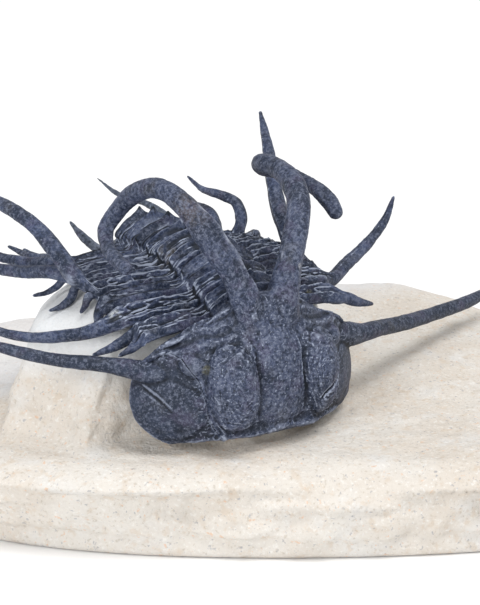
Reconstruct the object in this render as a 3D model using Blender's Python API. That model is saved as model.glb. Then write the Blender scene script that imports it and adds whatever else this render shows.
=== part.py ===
# A horned trilobite on a block of limestone, drawn in millimetres and built in metres.
# The head looks towards -Y, the animal's left side is +X, and the block stands on z = 0.
import math

import bmesh
import bpy
import numpy as np
from mathutils import Vector, noise

MM = 0.001
GAP = 0.4

# limestone block: u runs along its front edge, w from front to back, turned from the fossil's axis
BLOCK_TURN = math.radians(-34)
BLOCK_HALF_U, BLOCK_HALF_W = 52.0, 37.5
BLOCK_MIDDLE_W = 24.0
BLOCK_BASE = 10.0
BLOCK_LEVEL = 22.2
BLOCK_RINGS = (0.14, 0.28, 0.42, 0.56, 0.68, 0.79, 0.88, 0.95, 1.0)
BLOCK_SECTORS = 36
SWELLS = ((16.0, 52.0, 26.0, 4.5), (-36.0, 38.0, 18.0, 1.0))

# moves the middle of the block's underside to the origin
PLACE = np.array(
    [
        BLOCK_MIDDLE_W * math.sin(BLOCK_TURN),
        -BLOCK_MIDDLE_W * math.cos(BLOCK_TURN),
        -BLOCK_BASE,
    ]
)

# thorax
SEGMENTS = 9
PITCH = 3.0
THORAX_START = 2.4
HALF_WIDTHS = (15.0, 15.8, 16.0, 15.6, 15.0, 14.2, 13.0, 10.8, 8.8)
AXIS_HALF_WIDTH = 5.8
AXIS_HEIGHT = 3.8
SHELL = 0.95
SWEEP_FRONT, SWEEP_REAR = 0.02, 0.7
TAIL_START = THORAX_START + SEGMENTS * PITCH

# back line of the body seen from the side, as y and z at the level of the flanks
BACK_LINE = (
    (0.0, 37.4),
    (5.0, 39.0),
    (10.0, 41.0),
    (15.0, 42.0),
    (20.0, 42.3),
    (25.0, 42.0),
    (30.0, 40.6),
    (34.0, 38.0),
    (37.0, 34.6),
    (38.5, 31.0),
)

# cross section of a segment: place along the body from -1 to 1, and lift above the surface
UNDERSIDE = ((0.85, -SHELL), (-0.85, -SHELL))
RING_PROFILE = ((-1, -0.5), (-0.6, 0.1), (0.15, 0.5), (0.7, 0.95), (1, 0.3), *UNDERSIDE)
FLANK_PROFILE = ((-1, -0.5), (-0.6, 0.4), (-0.05, -0.2), (0.5, 0.5), (1, -0.4), *UNDERSIDE)
SPINE_ANGLES = (188, 135, 92, 48, -8, -60, -120)

# spines of the nine segments as x, y, z and radius, animal's right side first
RIGHT_SPINES = (
    ((-16.5, 5.6, 37.0, 0.8), (-18.5, 6.4, 35.4, 0.2)),
    (
        (-17.6, 10.0, 37.9, 1.05),
        (-22.0, 14.0, 36.2, 0.85),
        (-25.0, 17.2, 35.8, 0.7),
        (-29.5, 22.0, 37.0, 0.5),
        (-33.0, 26.0, 38.6, 0.2),
    ),
    ((-16.8, 12.4, 39.2, 0.8), (-17.4, 12.2, 37.2, 0.3)),
    (
        (-17.0, 18.0, 42.2, 1.2),
        (-17.6, 21.0, 44.4, 1.15),
        (-19.0, 25.0, 47.8, 1.0),
        (-22.0, 30.0, 50.6, 0.8),
        (-26.0, 36.5, 52.6, 0.25),
    ),
    (
        (-17.4, 22.2, 41.8, 0.9),
        (-19.4, 28.0, 40.8, 0.8),
        (-21.8, 34.0, 40.4, 0.65),
        (-24.5, 40.0, 40.4, 0.2),
    ),
    (
        (-15.9, 25.0, 42.2, 0.85),
        (-17.2, 30.5, 41.6, 0.75),
        (-18.8, 36.0, 41.4, 0.6),
        (-21.0, 42.0, 42.0, 0.2),
    ),
    ((-14.4, 28.0, 41.7, 0.7), (-15.3, 32.4, 41.3, 0.5), (-16.0, 36.4, 41.6, 0.18)),
    ((-12.6, 30.6, 40.8, 0.7), (-13.6, 35.6, 40.0, 0.5), (-14.4, 40.6, 40.4, 0.18)),
    ((-10.7, 32.4, 39.8, 0.65), (-11.6, 37.0, 39.2, 0.45), (-11.8, 41.0, 39.4, 0.18)),
)
LEFT_SPINES = (
    ((17.0, 5.2, 36.8, 0.8), (19.5, 5.6, 35.6, 0.6), (22.5, 6.2, 34.6, 0.18)),
    (
        (18.0, 10.2, 37.8, 1.05),
        (22.6, 12.6, 38.6, 0.9),
        (28.4, 14.8, 40.6, 0.75),
        (31.8, 16.0, 42.8, 0.55),
        (33.6, 16.6, 45.6, 0.2),
    ),
    ((16.9, 12.6, 39.0, 0.8), (18.0, 13.2, 37.4, 0.3)),
    (
        (16.8, 18.2, 42.2, 1.2),
        (17.7, 21.3, 44.2, 1.15),
        (19.5, 25.7, 47.6, 1.0),
        (22.0, 30.7, 51.2, 0.8),
        (25.0, 37.0, 54.6, 0.25),
    ),
    ((17.0, 22.5, 40.6, 0.8), (20.0, 27.0, 38.6, 0.7), (23.5, 33.0, 36.4, 0.2)),
    ((16.2, 25.2, 41.0, 0.85), (18.4, 30.6, 38.8, 0.6), (20.5, 36.5, 36.8, 0.2)),
    (
        (14.6, 26.4, 42.9, 0.85),
        (15.2, 28.4, 44.6, 0.75),
        (14.6, 32.0, 45.2, 0.65),
        (14.2, 35.5, 45.2, 0.45),
        (14.2, 39.5, 46.2, 0.15),
    ),
    ((12.8, 30.2, 41.2, 1.0), (13.8, 32.8, 42.1, 0.95), (14.6, 37.0, 42.2, 0.6), (15.0, 41.6, 41.6, 0.18)),
    ((10.7, 32.4, 39.8, 0.65), (11.6, 37.0, 39.2, 0.45), (11.8, 41.0, 39.4, 0.18)),
)

# short front spines that bend down on to the rock, animal's right side, by segment number
HOOKS = {
    2: ((-15.0, 7.8, 38.6, 0.5), (-17.2, 8.2, 37.0, 0.5), (-19.6, 9.2, 35.4, 0.2)),
    4: ((-14.8, 15.6, 40.6, 0.5), (-17.0, 16.2, 39.0, 0.5), (-18.6, 16.0, 37.8, 0.2)),
    5: ((-14.0, 18.8, 41.0, 0.55), (-16.8, 19.8, 39.2, 0.55), (-20.4, 19.8, 37.4, 0.2)),
    6: ((-13.2, 22.2, 41.0, 0.55), (-16.4, 23.4, 39.4, 0.55), (-20.8, 24.2, 37.8, 0.2)),
}

# tail spines: root as x and arc length, then x, y, z and radius
TAIL_SPINES = (
    (
        (4.6, 31.8),
        ((5.8, 32.8, 43.4, 0.9), (5.6, 37.0, 44.4, 0.75), (5.0, 43.0, 44.2, 0.5), (5.0, 49.0, 45.2, 0.15)),
    ),
    ((-4.6, 31.8), ((-6.2, 33.8, 41.8, 0.6), (-6.6, 37.2, 43.6, 0.2))),
    ((6.2, 32.6), ((8.6, 35.2, 38.3, 0.4), (9.6, 39.0, 38.2, 0.15))),
    ((-6.2, 32.6), ((-8.6, 35.2, 38.3, 0.4), (-9.6, 39.0, 38.2, 0.15))),
    ((2.0, 34.2), ((2.6, 37.0, 37.2, 0.4), (3.0, 40.5, 36.0, 0.15))),
    ((-2.0, 34.2), ((-2.6, 37.0, 37.2, 0.4), (-3.0, 40.5, 36.0, 0.15))),
)

# head: each row runs from the middle of the front face to the rear or side margin
HEAD_MIDDLE = (
    (0.7, 42.0),
    (-0.9, 41.7),
    (-1.4, 39.9),
    (-2.6, 37.8),
    (-4.0, 35.2),
    (-4.5, 32.4),
    (-4.8, 29.6),
    (-4.7, 27.2),
    (-4.3, 25.8),
    (-4.9, 24.8),
)
HEAD_EDGE = (
    (6.2, 2.0, 38.2),
    (8.0, 2.4, 37.8),
    (10.4, 2.9, 37.0),
    (13.2, 3.4, 36.0),
    (15.6, 4.2, 34.6),
    (16.8, 4.9, 32.2),
    (17.0, 5.0, 29.6),
    (16.6, 4.2, 26.8),
    (15.2, 2.6, 24.8),
    (13.4, 1.2, 23.5),
)
HEAD_SHELL = 1.6
CHEEK_ROWS = (3.7, 3.9, 4.2, 4.8, 5.4, 6.1, 6.8, 7.5, 8.1, 8.6, 9)
SUTURE_ROWS = (3.2, 3.5, 4.0, 5.0, 6.0, 7.0, 8.0, 9.0)
SUTURE_X = (13.6, 12.9, 11.8, 10.6, 10.0, 9.6, 8.8, 7.7)

# curled horns and cheek spines as x, y, z and radius
RIGHT_HORN = (
    (-2.6, -0.8, 41.0, 1.6),
    (-4.1, 0.7, 45.1, 1.65),
    (-6.35, 2.4, 49.6, 1.8),
    (-8.2, 4.7, 53.3, 1.55),
    (-9.0, 9.2, 55.1, 1.35),
    (-9.5, 14.8, 53.3, 1.3),
    (-10.2, 18.6, 50.0, 1.2),
    (-11.7, 18.9, 47.9, 1.1),
    (-13.2, 16.4, 46.6, 1.0),
    (-14.4, 12.4, 45.8, 1.0),
    (-15.4, 7.6, 45.6, 0.85),
)
LEFT_HORN = (
    (2.6, -0.8, 41.0, 1.6),
    (4.6, 0.6, 44.6, 1.7),
    (7.2, 2.8, 48.2, 1.65),
    (9.2, 5.0, 51.0, 1.6),
    (10.9, 9.0, 52.8, 1.55),
    (11.8, 14.0, 53.6, 1.35),
    (12.2, 18.2, 53.2, 1.25),
    (13.9, 20.0, 51.9, 1.15),
    (16.3, 18.4, 51.2, 1.05),
    (17.0, 14.5, 50.6, 1.0),
    (17.0, 11.0, 50.0, 1.0),
    (17.2, 8.5, 48.8, 0.95),
    (16.9, 6.8, 47.4, 0.85),
)
RIGHT_CHEEK_SPINE = (
    (-15.2, 3.6, 32.8, 1.2),
    (-18.0, 4.6, 33.9, 1.1),
    (-21.0, 6.4, 34.5, 1.0),
    (-25.0, 9.0, 35.0, 0.9),
    (-30.5, 13.6, 36.4, 0.75),
    (-36.0, 19.0, 38.4, 0.2),
)
LEFT_CHEEK_SPINE = (
    (15.2, 3.6, 32.2, 1.4),
    (18.6, 4.0, 31.8, 1.4),
    (22.0, 5.2, 31.4, 1.2),
    (28.5, 8.0, 30.2, 1.1),
    (38.5, 12.0, 29.0, 1.0),
    (48.0, 16.0, 28.2, 0.85),
    (56.0, 20.5, 28.0, 0.2),
)


def hermite(points, count):
    """Points spaced evenly along a smooth curve through the given points."""
    p = np.array(points, dtype=float)
    steps = np.linalg.norm(np.diff(p[:, :3], axis=0), axis=1)
    t = np.concatenate(([0.0], np.cumsum(steps)))
    slope = np.gradient(p, t, axis=0)
    s = np.linspace(0.0, t[-1], count)
    k = np.clip(np.searchsorted(t, s, side="right") - 1, 0, len(t) - 2)
    width = (t[k + 1] - t[k])[:, None]
    u = (s - t[k])[:, None] / width
    return (
        (2 * u**3 - 3 * u**2 + 1) * p[k]
        + (u**3 - 2 * u**2 + u) * width * slope[k]
        + (3 * u**2 - 2 * u**3) * p[k + 1]
        + (u**3 - u**2) * width * slope[k + 1]
    )


def arc_table(points):
    """Arc length, y, z and unit tangent of the back line."""
    line = hermite([(0.0, y, z) for y, z in points], 160)[:, 1:]
    step = np.linalg.norm(np.diff(line, axis=0), axis=1)
    s = np.concatenate(([0.0], np.cumsum(step)))
    tangent = np.gradient(line, s, axis=0)
    tangent /= np.linalg.norm(tangent, axis=1)[:, None]
    return s, line, tangent


ARC, LINE, TANGENT = arc_table(BACK_LINE)


def axis_half_width(s):
    return float(np.interp(s, (0.0, 20.0, 36.0), (AXIS_HALF_WIDTH, 5.0, 3.0)))


def body_height(x, s):
    """Height of the vaulted axis or the drooping flank above the back line."""
    a = axis_half_width(s)
    if abs(x) < a:
        end = float(np.interp(s, (14.0, 20.0, 31.0, 35.0), (1.0, 0.8, 0.8, 0.15)))
        return AXIS_HEIGHT * end * (1.0 - (x / a) ** 2) ** 0.6
    return -0.012 * (abs(x) - a) ** 2


def sweep(x, s):
    """How far the flank at x lies behind the axis."""
    share = (s - THORAX_START) / (TAIL_START - THORAX_START)
    rate = SWEEP_FRONT + (SWEEP_REAR - SWEEP_FRONT) * share
    return 0.15 * min(abs(x), 6.0) + rate * max(0.0, abs(x) - 6.0)


def body_point(x, s, lift):
    y, z = np.interp(s, ARC, LINE[:, 0]), np.interp(s, ARC, LINE[:, 1])
    ty, tz = np.interp(s, ARC, TANGENT[:, 0]), np.interp(s, ARC, TANGENT[:, 1])
    h = body_height(x, s) + lift
    return np.array([x, y - tz * h, z + ty * h])


def make_material(name, colour, roughness):
    material = bpy.data.materials.new(name)
    material.use_nodes = True
    shader = material.node_tree.nodes["Principled BSDF"]
    shader.inputs["Base Color"].default_value = (*colour, 1.0)
    shader.inputs["Roughness"].default_value = roughness
    shader.inputs["Metallic"].default_value = 0.0
    return material


def make_object(name, points, faces, material=None):
    mesh = bpy.data.meshes.new(name)
    mesh.from_pydata([tuple((np.array(p) + PLACE) * MM) for p in points], [], faces)
    bm = bmesh.new()
    bm.from_mesh(mesh)
    bmesh.ops.recalc_face_normals(bm, faces=bm.faces)
    for face in bm.faces:
        face.smooth = True
    bm.to_mesh(mesh)
    bm.free()
    if material:
        mesh.materials.append(material)
    obj = bpy.data.objects.new(name, mesh)
    bpy.context.scene.collection.objects.link(obj)
    return obj


def loft(name, rings, material=None):
    """Closed solid through rings of equal point count, with a flat cap at each end."""
    n = len(rings[0])
    points = [p for ring in rings for p in ring]
    faces = [tuple(range(n)), tuple(range(len(points) - n, len(points)))]
    for k in range(len(rings) - 1):
        for j in range(n):
            a, b = k * n + j, k * n + (j + 1) % n
            faces.append((a, b, b + n, a + n))
    return make_object(name, points, faces, material)


def sheet(name, outer, inner, material=None):
    """Closed plate between an outer and an inner grid of points."""
    rows, cols = len(outer), len(outer[0])
    points = [p for row in outer for p in row] + [p for row in inner for p in row]
    half = rows * cols
    faces = []
    for r in range(rows - 1):
        for c in range(cols - 1):
            a = r * cols + c
            quad = (a, a + 1, a + cols + 1, a + cols)
            faces.append(quad)
            faces.append(tuple(v + half for v in quad))
    rim = [(0, c) for c in range(cols)]
    rim += [(r, cols - 1) for r in range(1, rows)]
    rim += [(rows - 1, c) for c in range(cols - 2, -1, -1)]
    rim += [(r, 0) for r in range(rows - 2, 0, -1)]
    edge = [r * cols + c for r, c in rim]
    for a, b in zip(edge, edge[1:] + edge[:1]):
        faces.append((a, b, b + half, a + half))
    return make_object(name, points, faces, material)


def join(body, tool):
    """Fuse one solid into another."""
    modifier = body.modifiers.new("join", "BOOLEAN")
    modifier.operation = "UNION"
    modifier.solver = "EXACT"
    modifier.object = tool
    graph = bpy.context.evaluated_depsgraph_get()
    mesh = bpy.data.meshes.new_from_object(body.evaluated_get(graph))
    body.modifiers.clear()
    body.data = mesh
    bpy.data.objects.remove(tool)
    for polygon in mesh.polygons:
        polygon.use_smooth = True


def carried_frames(path, side, up):
    """Across and up vectors carried along a path without twist."""
    frames = []
    direction = path[1] - path[0]
    side = side - direction * (side @ direction) / (direction @ direction)
    for k in range(len(path)):
        direction = path[min(k + 1, len(path) - 1)] - path[max(k - 1, 0)]
        direction /= np.linalg.norm(direction)
        side = side - direction * (side @ direction)
        side /= np.linalg.norm(side)
        lift = np.cross(direction, side)
        if lift @ up < 0:
            lift = -lift
        up = lift
        frames.append((side, lift))
    return frames


def tube(name, points, count, sides, material=None):
    """Tapering round spine along a smooth curve."""
    path = hermite(points, count)
    centre, radius = path[:, :3], path[:, 3]
    frames = carried_frames(centre, np.array([0.3, 0.2, 1.0]), np.array([0.1, 1.0, 0.2]))
    rings = []
    for c, r, (side, lift) in zip(centre, radius, frames):
        turn = [2 * math.pi * j / sides for j in range(sides)]
        rings.append([c + r * (math.cos(t) * side + math.sin(t) * lift) for t in turn])
    return loft(name, rings, material)


def rib_ring(x, middle, blend, peak):
    """Cross section of a segment at x, blended from axial ring to flank."""
    half = (PITCH - GAP) / 2
    ring = []
    for j, (ring_part, flank_part) in enumerate(zip(RING_PROFILE, FLANK_PROFILE)):
        place = (1 - blend) * ring_part[0] + blend * flank_part[0]
        lift = (1 - blend) * ring_part[1] + blend * flank_part[1]
        if j == 3:
            lift += peak
        s = middle + place * half
        ring.append(body_point(x, s + sweep(x, s), lift))
    return ring


def spine_rings(root, sign, points, count):
    """Rings that carry the end of a flank over into its spine."""
    first = np.mean(root, axis=0)
    width = np.linalg.norm(root[4] - root[0]) / 2
    thick = np.linalg.norm(root[1] - root[6]) / 2
    path = hermite([(*first, min(width, 1.2))] + list(points), count + 1)
    side = (root[4] - root[0]) / np.linalg.norm(root[4] - root[0])
    up = np.cross(side, np.array([sign, 0.0, 0.0]))
    up = up if up[2] > 0 else -up
    frames = carried_frames(path[:, :3], side, up)
    rings = []
    for k in range(1, count + 1):
        fade = max(0.0, 1.0 - k / 2.0)
        r = path[k, 3]
        wide = fade * width * 0.8 + (1 - fade) * r
        deep = fade * thick * 0.9 + (1 - fade) * r
        s, u = frames[k]
        turn = [math.radians(a) for a in SPINE_ANGLES]
        rings.append([path[k, :3] + wide * math.cos(t) * s + deep * math.sin(t) * u for t in turn])
    return rings


def make_segment(i, material):
    middle = THORAX_START + PITCH * (i + 0.5)
    a, edge = axis_half_width(middle), HALF_WIDTHS[i]
    reach = edge - 1.1 * a
    stations = [(0.0, 0.0, 0.8), (0.4 * a, 0.0, 0.2), (0.75 * a, 0.1, 0.0), (0.97 * a, 0.5, 0.0)]
    stations += [(1.12 * a, 1.0, 0.0), (1.1 * a + 0.5 * reach, 1.0, 0.0), (edge, 1.0, 0.0)]
    left = [rib_ring(x, middle, blend, peak) for x, blend, peak in stations]
    right = [rib_ring(-x, middle, blend, peak) for x, blend, peak in stations[:0:-1]]
    long_left, long_right = len(LEFT_SPINES[i]), len(RIGHT_SPINES[i])
    left_tip = spine_rings(left[-1], 1, LEFT_SPINES[i], 3 if long_left < 3 else 4 + long_left)
    right_tip = spine_rings(right[0], -1, RIGHT_SPINES[i], 3 if long_right < 3 else 4 + long_right)
    return loft(f"thoracic_segment_{i + 1}", right_tip[::-1] + right + left + left_tip, material)


def add_hooks(segment, points):
    """Front spine under each flank, alike on both sides."""
    for sign in (1, -1):
        join(segment, tube("hook", [(sign * x, y, z, r) for x, y, z, r in points], 5, 5))


def make_tail(material):
    outer, inner = [], []
    columns = [c / 6 for c in range(-6, 7)]
    rows = 7
    for r in range(rows):
        v = r / (rows - 1)
        top, bottom = [], []
        for c in columns:
            x = 8.2 * c * (1.0 - 0.28 * v * v)
            front = TAIL_START + 0.1 + sweep(x, TAIL_START + 0.1)
            back = TAIL_START + 6.2 - 2.6 * c * c
            s = front + (back - front) * v
            ringed = 0.35 * math.cos(v * 5 * math.pi) * max(0.0, 1 - abs(c) * 1.8)
            ribbed = 0.2 * math.cos(abs(c) * 5 * math.pi)
            top.append(body_point(x, s, ringed + ribbed - 0.1 - 0.4 * v))
            bottom.append(body_point(x, s, -SHELL - 0.2))
        outer.append(top)
        inner.append(bottom)
    tail = sheet("pygidium", outer, inner, material)
    for (x, s), points in TAIL_SPINES:
        start = (*body_point(x, s, -0.55), 0.55 if len(points) < 4 else 0.8)
        join(tail, tube("tail_spine", (start, *points), 2 + 3 * len(points), 6))
    return tail


def head_row(table, v):
    """Value of a head table at any row, eased between the listed rows."""
    p = np.array(table, dtype=float)
    k = min(int(v), len(p) - 2)
    u = v - k
    before, after = p[max(k - 1, 0)], p[min(k + 2, len(p) - 1)]
    m0, m1 = (p[k + 1] - before) / 2, (after - p[k]) / 2
    low = (2 * u**3 - 3 * u**2 + 1) * p[k] + (u**3 - 2 * u**2 + u) * m0
    return low + (3 * u**2 - 2 * u**3) * p[k + 1] + (u**3 - u**2) * m1


def head_base(angle, v):
    """Smooth head surface; the angle runs from the middle, 0, to the margin, +-90 degrees."""
    ym, zm = head_row(HEAD_MIDDLE, v)
    xe, ye, ze = head_row(HEAD_EDGE, v)
    c, s = max(math.cos(angle), 0.0), math.sin(angle)
    arch = float(np.interp(v, (0.0, 3.0), (1.0, 0.0)))
    drop = arch * (1 - c**0.8) + (1 - arch) * s * s
    back = max(0.0, (abs(s) - 0.33) / 0.67) ** 1.3
    back = arch * (1 - c**0.72) + (1 - arch) * back
    return np.array([xe * s, ym + (ye - ym) * back, zm + (ze - zm) * drop])


def head_normal(angle, v, reach=0.08):
    e = 0.3 * reach
    across = head_base(min(angle + e, 1.55), v) - head_base(max(angle - e, -1.55), v)
    down = head_base(angle, min(v + reach, 9.0)) - head_base(angle, max(v - reach, 0.0))
    n = np.cross(down, across)
    return n / np.linalg.norm(n)


def dome(x, z, cx, cz, rx, rz):
    d = ((abs(x) - cx) / rx) ** 2 + ((z - cz) / rz) ** 2
    return (1 - d) ** 0.6 if d < 1 else 0.0


def head_relief(p, v):
    """Swellings of the head: middle lobe, side lobes, eye, cheek lobe and border."""
    x, z = p[0], p[2]
    lift = 0.9 * dome(x, z, 0.0, 31.5, 3.3, 8.5)
    lift += 1.9 * dome(x, z, 6.7, 31.2, 3.1, 5.6)
    lift += 0.6 * dome(x, z, 1.7, 38.9, 1.2, 1.3)
    lift += 0.9 * dome(x, z, 11.0, 34.2, 1.3, 1.4)
    lift += 1.0 * dome(x, z, 14.0, 28.0, 4.2, 4.2)
    lift += 0.4 * float(np.interp(v, (8.0, 8.6, 9.0), (0.0, 1.0, 0.6)))
    return lift


def head_pair(angle, v, shrink=1.0):
    base = head_base(angle, v)
    outer = base + head_normal(angle, v) * head_relief(base, v)
    arch = np.array([0.75 * math.sin(angle), -0.15, max(0.4, math.cos(angle))])
    share = float(np.interp(v, (2.0, 3.2), (1.0, 0.0)))
    inward = share * arch / np.linalg.norm(arch) + (1 - share) * head_normal(angle, v, 0.9)
    depth = HEAD_SHELL * shrink * (1 - 0.4 * math.sin(angle) ** 8)
    return outer, base - inward * depth


def suture_angle(v):
    if v <= SUTURE_ROWS[0]:
        return math.pi / 2
    x = float(np.interp(v, SUTURE_ROWS, SUTURE_X))
    return math.asin(min(1.0, x / head_row(HEAD_EDGE, v)[0]))


def suture_gap(v):
    return 0.022 if v < 4.5 else 0.013


def make_cranidium(material):
    outer, inner = [], []
    for v in (0, 0.5, 1, 1.5, 2, 2.6, 3.2, 3.5) + CHEEK_ROWS:
        limit = suture_angle(v) - (suture_gap(v) if v > 3.2 else 0.0)
        pairs = [head_pair(limit * c / 9, v) for c in range(-9, 10)]
        outer.append([p[0] for p in pairs])
        inner.append([p[1] for p in pairs])
    head = sheet("cranidium", outer, inner, material)
    join(head, tube("horn", RIGHT_HORN, 19, 8))
    join(head, tube("horn", LEFT_HORN, 21, 8))
    return head


def make_cheek(name, sign, spine, material):
    outer, inner = [], []
    for v in CHEEK_ROWS:
        low = suture_angle(v) + suture_gap(v)
        pairs = [head_pair(sign * (low + (math.pi / 2 - low) * c / 6), v) for c in range(7)]
        outer.append([p[0] for p in pairs])
        inner.append([p[1] for p in pairs])
    cheek = sheet(name, outer, inner, material)
    join(cheek, tube("cheek_spine", spine, 12, 8))
    return cheek


def ground(x, y):
    """Height of the open rock surface."""
    u = x * math.cos(BLOCK_TURN) + y * math.sin(BLOCK_TURN)
    w = y * math.cos(BLOCK_TURN) - x * math.sin(BLOCK_TURN)
    z = BLOCK_LEVEL - 0.0004 * (u * u + w * w)
    for middle_u, middle_w, radius, height in SWELLS:
        z += height * math.exp(-((u - middle_u) ** 2 + (w - middle_w) ** 2) / radius**2)
    bump = noise.noise(Vector((x * 0.06, y * 0.06, 2.0)))
    return z + 1.2 * bump * min(1.0, (u * u + w * w) / 900.0)


def block_rim(turn, share, z):
    """Point of the block's rough outline, drawn in to a share of its size."""
    c, s = math.cos(turn), math.sin(turn)
    size = share * (abs(c) ** 3 + abs(s) ** 3) ** (-1 / 3)
    size *= 1.0 + 0.07 * noise.noise(Vector((c * 1.7, s * 1.7, 0.12 * z)))
    u, w = BLOCK_HALF_U * c * size, BLOCK_MIDDLE_W + BLOCK_HALF_W * s * size
    x = u * math.cos(BLOCK_TURN) - w * math.sin(BLOCK_TURN)
    y = u * math.sin(BLOCK_TURN) + w * math.cos(BLOCK_TURN)
    return x, y


def make_matrix(material):
    turns = [2 * math.pi * k / BLOCK_SECTORS for k in range(BLOCK_SECTORS)]
    x, y = block_rim(0.0, 0.0, 0.0)
    points = [np.array([x, y, ground(x, y)])]
    for share in BLOCK_RINGS:
        for t in turns:
            x, y = block_rim(t, share, 0.0)
            edge = 2.5 * max(0.0, (share - 0.85) / 0.15) ** 2
            points.append(np.array([x, y, ground(x, y) - edge]))
    sides = ((1.02, 16.5), (1.0, 13.0), (0.94, BLOCK_BASE))
    for share, z in sides:
        for t in turns:
            points.append(np.array([*block_rim(t, share, z), z]))
    n = BLOCK_SECTORS
    count = len(BLOCK_RINGS) + len(sides)
    faces = [(0, 1 + j, 1 + (j + 1) % n) for j in range(n)]
    for k in range(count - 1):
        for j in range(n):
            a, b = 1 + k * n + j, 1 + k * n + (j + 1) % n
            faces.append((a, b, b + n, a + n))
    faces.append(tuple(range(1 + (count - 1) * n, 1 + count * n)))
    block = make_object("matrix", points, faces, material)
    join(block, make_mound())
    join(block, make_head_filling())
    return block


def make_mound():
    """Rock left standing under the thorax and tail."""
    rings = []
    clear = SHELL + GAP
    for s in (8.5, 10.5, 12.5, 15.5, 19.0, 23.0, 27.0, 30.0, 32.5):
        i = max(0, min(SEGMENTS - 1, int((s - 5.5) / PITCH)))
        edge = (HALF_WIDTHS[i] - 1.0) * (0.88 if s < 9.0 else 1.0)
        a = axis_half_width(s)
        y = float(np.interp(s, ARC, LINE[:, 0]))
        wide = float(np.interp(y, (5.0, 14.0, 22.0, 30.0), (2.0, 4.0, 9.0, 8.0)))
        top = [-edge, -edge * 0.7, -a, -0.8 * a, -0.35 * a, 0.35 * a, 0.8 * a, a, edge * 0.7, edge]
        ring = [body_point(x, s, -clear - 0.15) for x in top]
        z = ring[0][2]
        ring = [
            np.array([-edge - wide - 9.0, y - 2.0, 16.0]),
            np.array([-edge - wide - 4.0, y - 1.0, 24.0]),
            np.array([-edge - wide, y, z - 6.0]),
            np.array([-edge - 0.4 * wide, y, z - 2.8]),
            *ring,
            np.array([edge + 2.0, y, z - 3.6]),
            np.array([edge + 5.0, y, z - 10.0]),
            np.array([edge + 11.0, y, 16.0]),
        ]
        rings.append(ring)
    rear = rings[-1]
    for back, fall, narrow in ((2.0, 4.0, 0.97), (6.0, 10.0, 0.9), (11.0, 24.0, 0.8)):
        rings.append([np.array([p[0] * narrow, p[1] + back, max(16.0, p[2] - fall)]) for p in rear])
    return loft("mound", rings)


def make_head_filling():
    """Rock inside the hollow of the head, joined to the mound behind."""
    rings = []
    turns = [math.radians(t) for t in (-66, -55, -40, -20, 0, 20, 40, 55, 66)]
    for v in (2.6, 3.3, 4.2, 5.4, 6.6, 7.6, 8.6):
        row = [head_pair(t, v, 1.35)[1] for t in turns]
        low = row[4][2] - 1.0
        rings.append(row + [np.array([11.0, 9.5, low]), np.array([-11.0, 9.5, low])])
    floor = [np.array([p[0], p[1], 18.0]) for p in rings[-1]]
    return loft("head_filling", rings + [floor])


def build():
    for old in list(bpy.data.objects):
        bpy.data.objects.remove(old)
    rock = make_material("limestone", (0.64, 0.58, 0.49), 0.9)
    head = make_material("head_shell", (0.065, 0.070, 0.092), 0.45)
    cheek = make_material("cheek_shell", (0.062, 0.067, 0.088), 0.45)
    ribs = make_material("thorax_shell", (0.060, 0.065, 0.086), 0.48)
    tail = make_material("tail_shell", (0.060, 0.065, 0.086), 0.48)
    pieces = [make_matrix(rock), make_cranidium(head)]
    pieces.append(make_cheek("right_free_cheek", -1, RIGHT_CHEEK_SPINE, cheek))
    pieces.append(make_cheek("left_free_cheek", 1, LEFT_CHEEK_SPINE, cheek))
    for i in range(SEGMENTS):
        segment = make_segment(i, ribs)
        if i + 1 in HOOKS:
            add_hooks(segment, HOOKS[i + 1])
        pieces.append(segment)
    pieces.append(make_tail(tail))
    fossil = bpy.data.objects.new("dicranurus", None)
    bpy.context.scene.collection.objects.link(fossil)
    for piece in pieces:
        piece.parent = fossil


build()
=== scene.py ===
# A horned trilobite on a slab of pale limestone.
# Pieces are drawn in millimetres around the fossil, then set in the shared frame, in metres.
import math

import bmesh
import bpy
import numpy as np
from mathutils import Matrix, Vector, noise


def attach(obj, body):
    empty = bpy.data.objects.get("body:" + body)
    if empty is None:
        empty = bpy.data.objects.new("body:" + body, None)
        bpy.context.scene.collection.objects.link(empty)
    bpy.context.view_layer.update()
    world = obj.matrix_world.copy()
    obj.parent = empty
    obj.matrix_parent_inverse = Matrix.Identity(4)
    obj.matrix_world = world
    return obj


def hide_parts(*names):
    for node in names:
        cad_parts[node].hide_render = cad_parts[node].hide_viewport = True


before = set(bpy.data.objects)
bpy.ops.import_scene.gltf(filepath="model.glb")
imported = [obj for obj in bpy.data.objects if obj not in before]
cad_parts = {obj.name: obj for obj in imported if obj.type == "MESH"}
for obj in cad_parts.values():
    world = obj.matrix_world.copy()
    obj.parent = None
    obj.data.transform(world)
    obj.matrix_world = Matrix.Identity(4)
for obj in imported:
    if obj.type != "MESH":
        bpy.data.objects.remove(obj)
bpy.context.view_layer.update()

MM = 0.001

# slab: u runs along its front edge, w from front to back
# swells: middle u and w, radius and height
BLOCK_TURN = math.radians(-34)
TURN_COS, TURN_SIN = math.cos(BLOCK_TURN), math.sin(BLOCK_TURN)
BLOCK_HALF_U, BLOCK_HALF_W = 52.0, 37.5
BLOCK_MIDDLE_W = 24.0
BLOCK_BASE = 10.0
BLOCK_LEVEL = 22.2
SWELLS = ((16.0, 52.0, 26.0, 4.5), (-36.0, 38.0, 18.0, 1.0))
RIM_POINTS = 144
MOUND_FOOT = 16.0
PLACE = np.array([BLOCK_MIDDLE_W * TURN_SIN, -BLOCK_MIDDLE_W * TURN_COS, -BLOCK_BASE])

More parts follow.
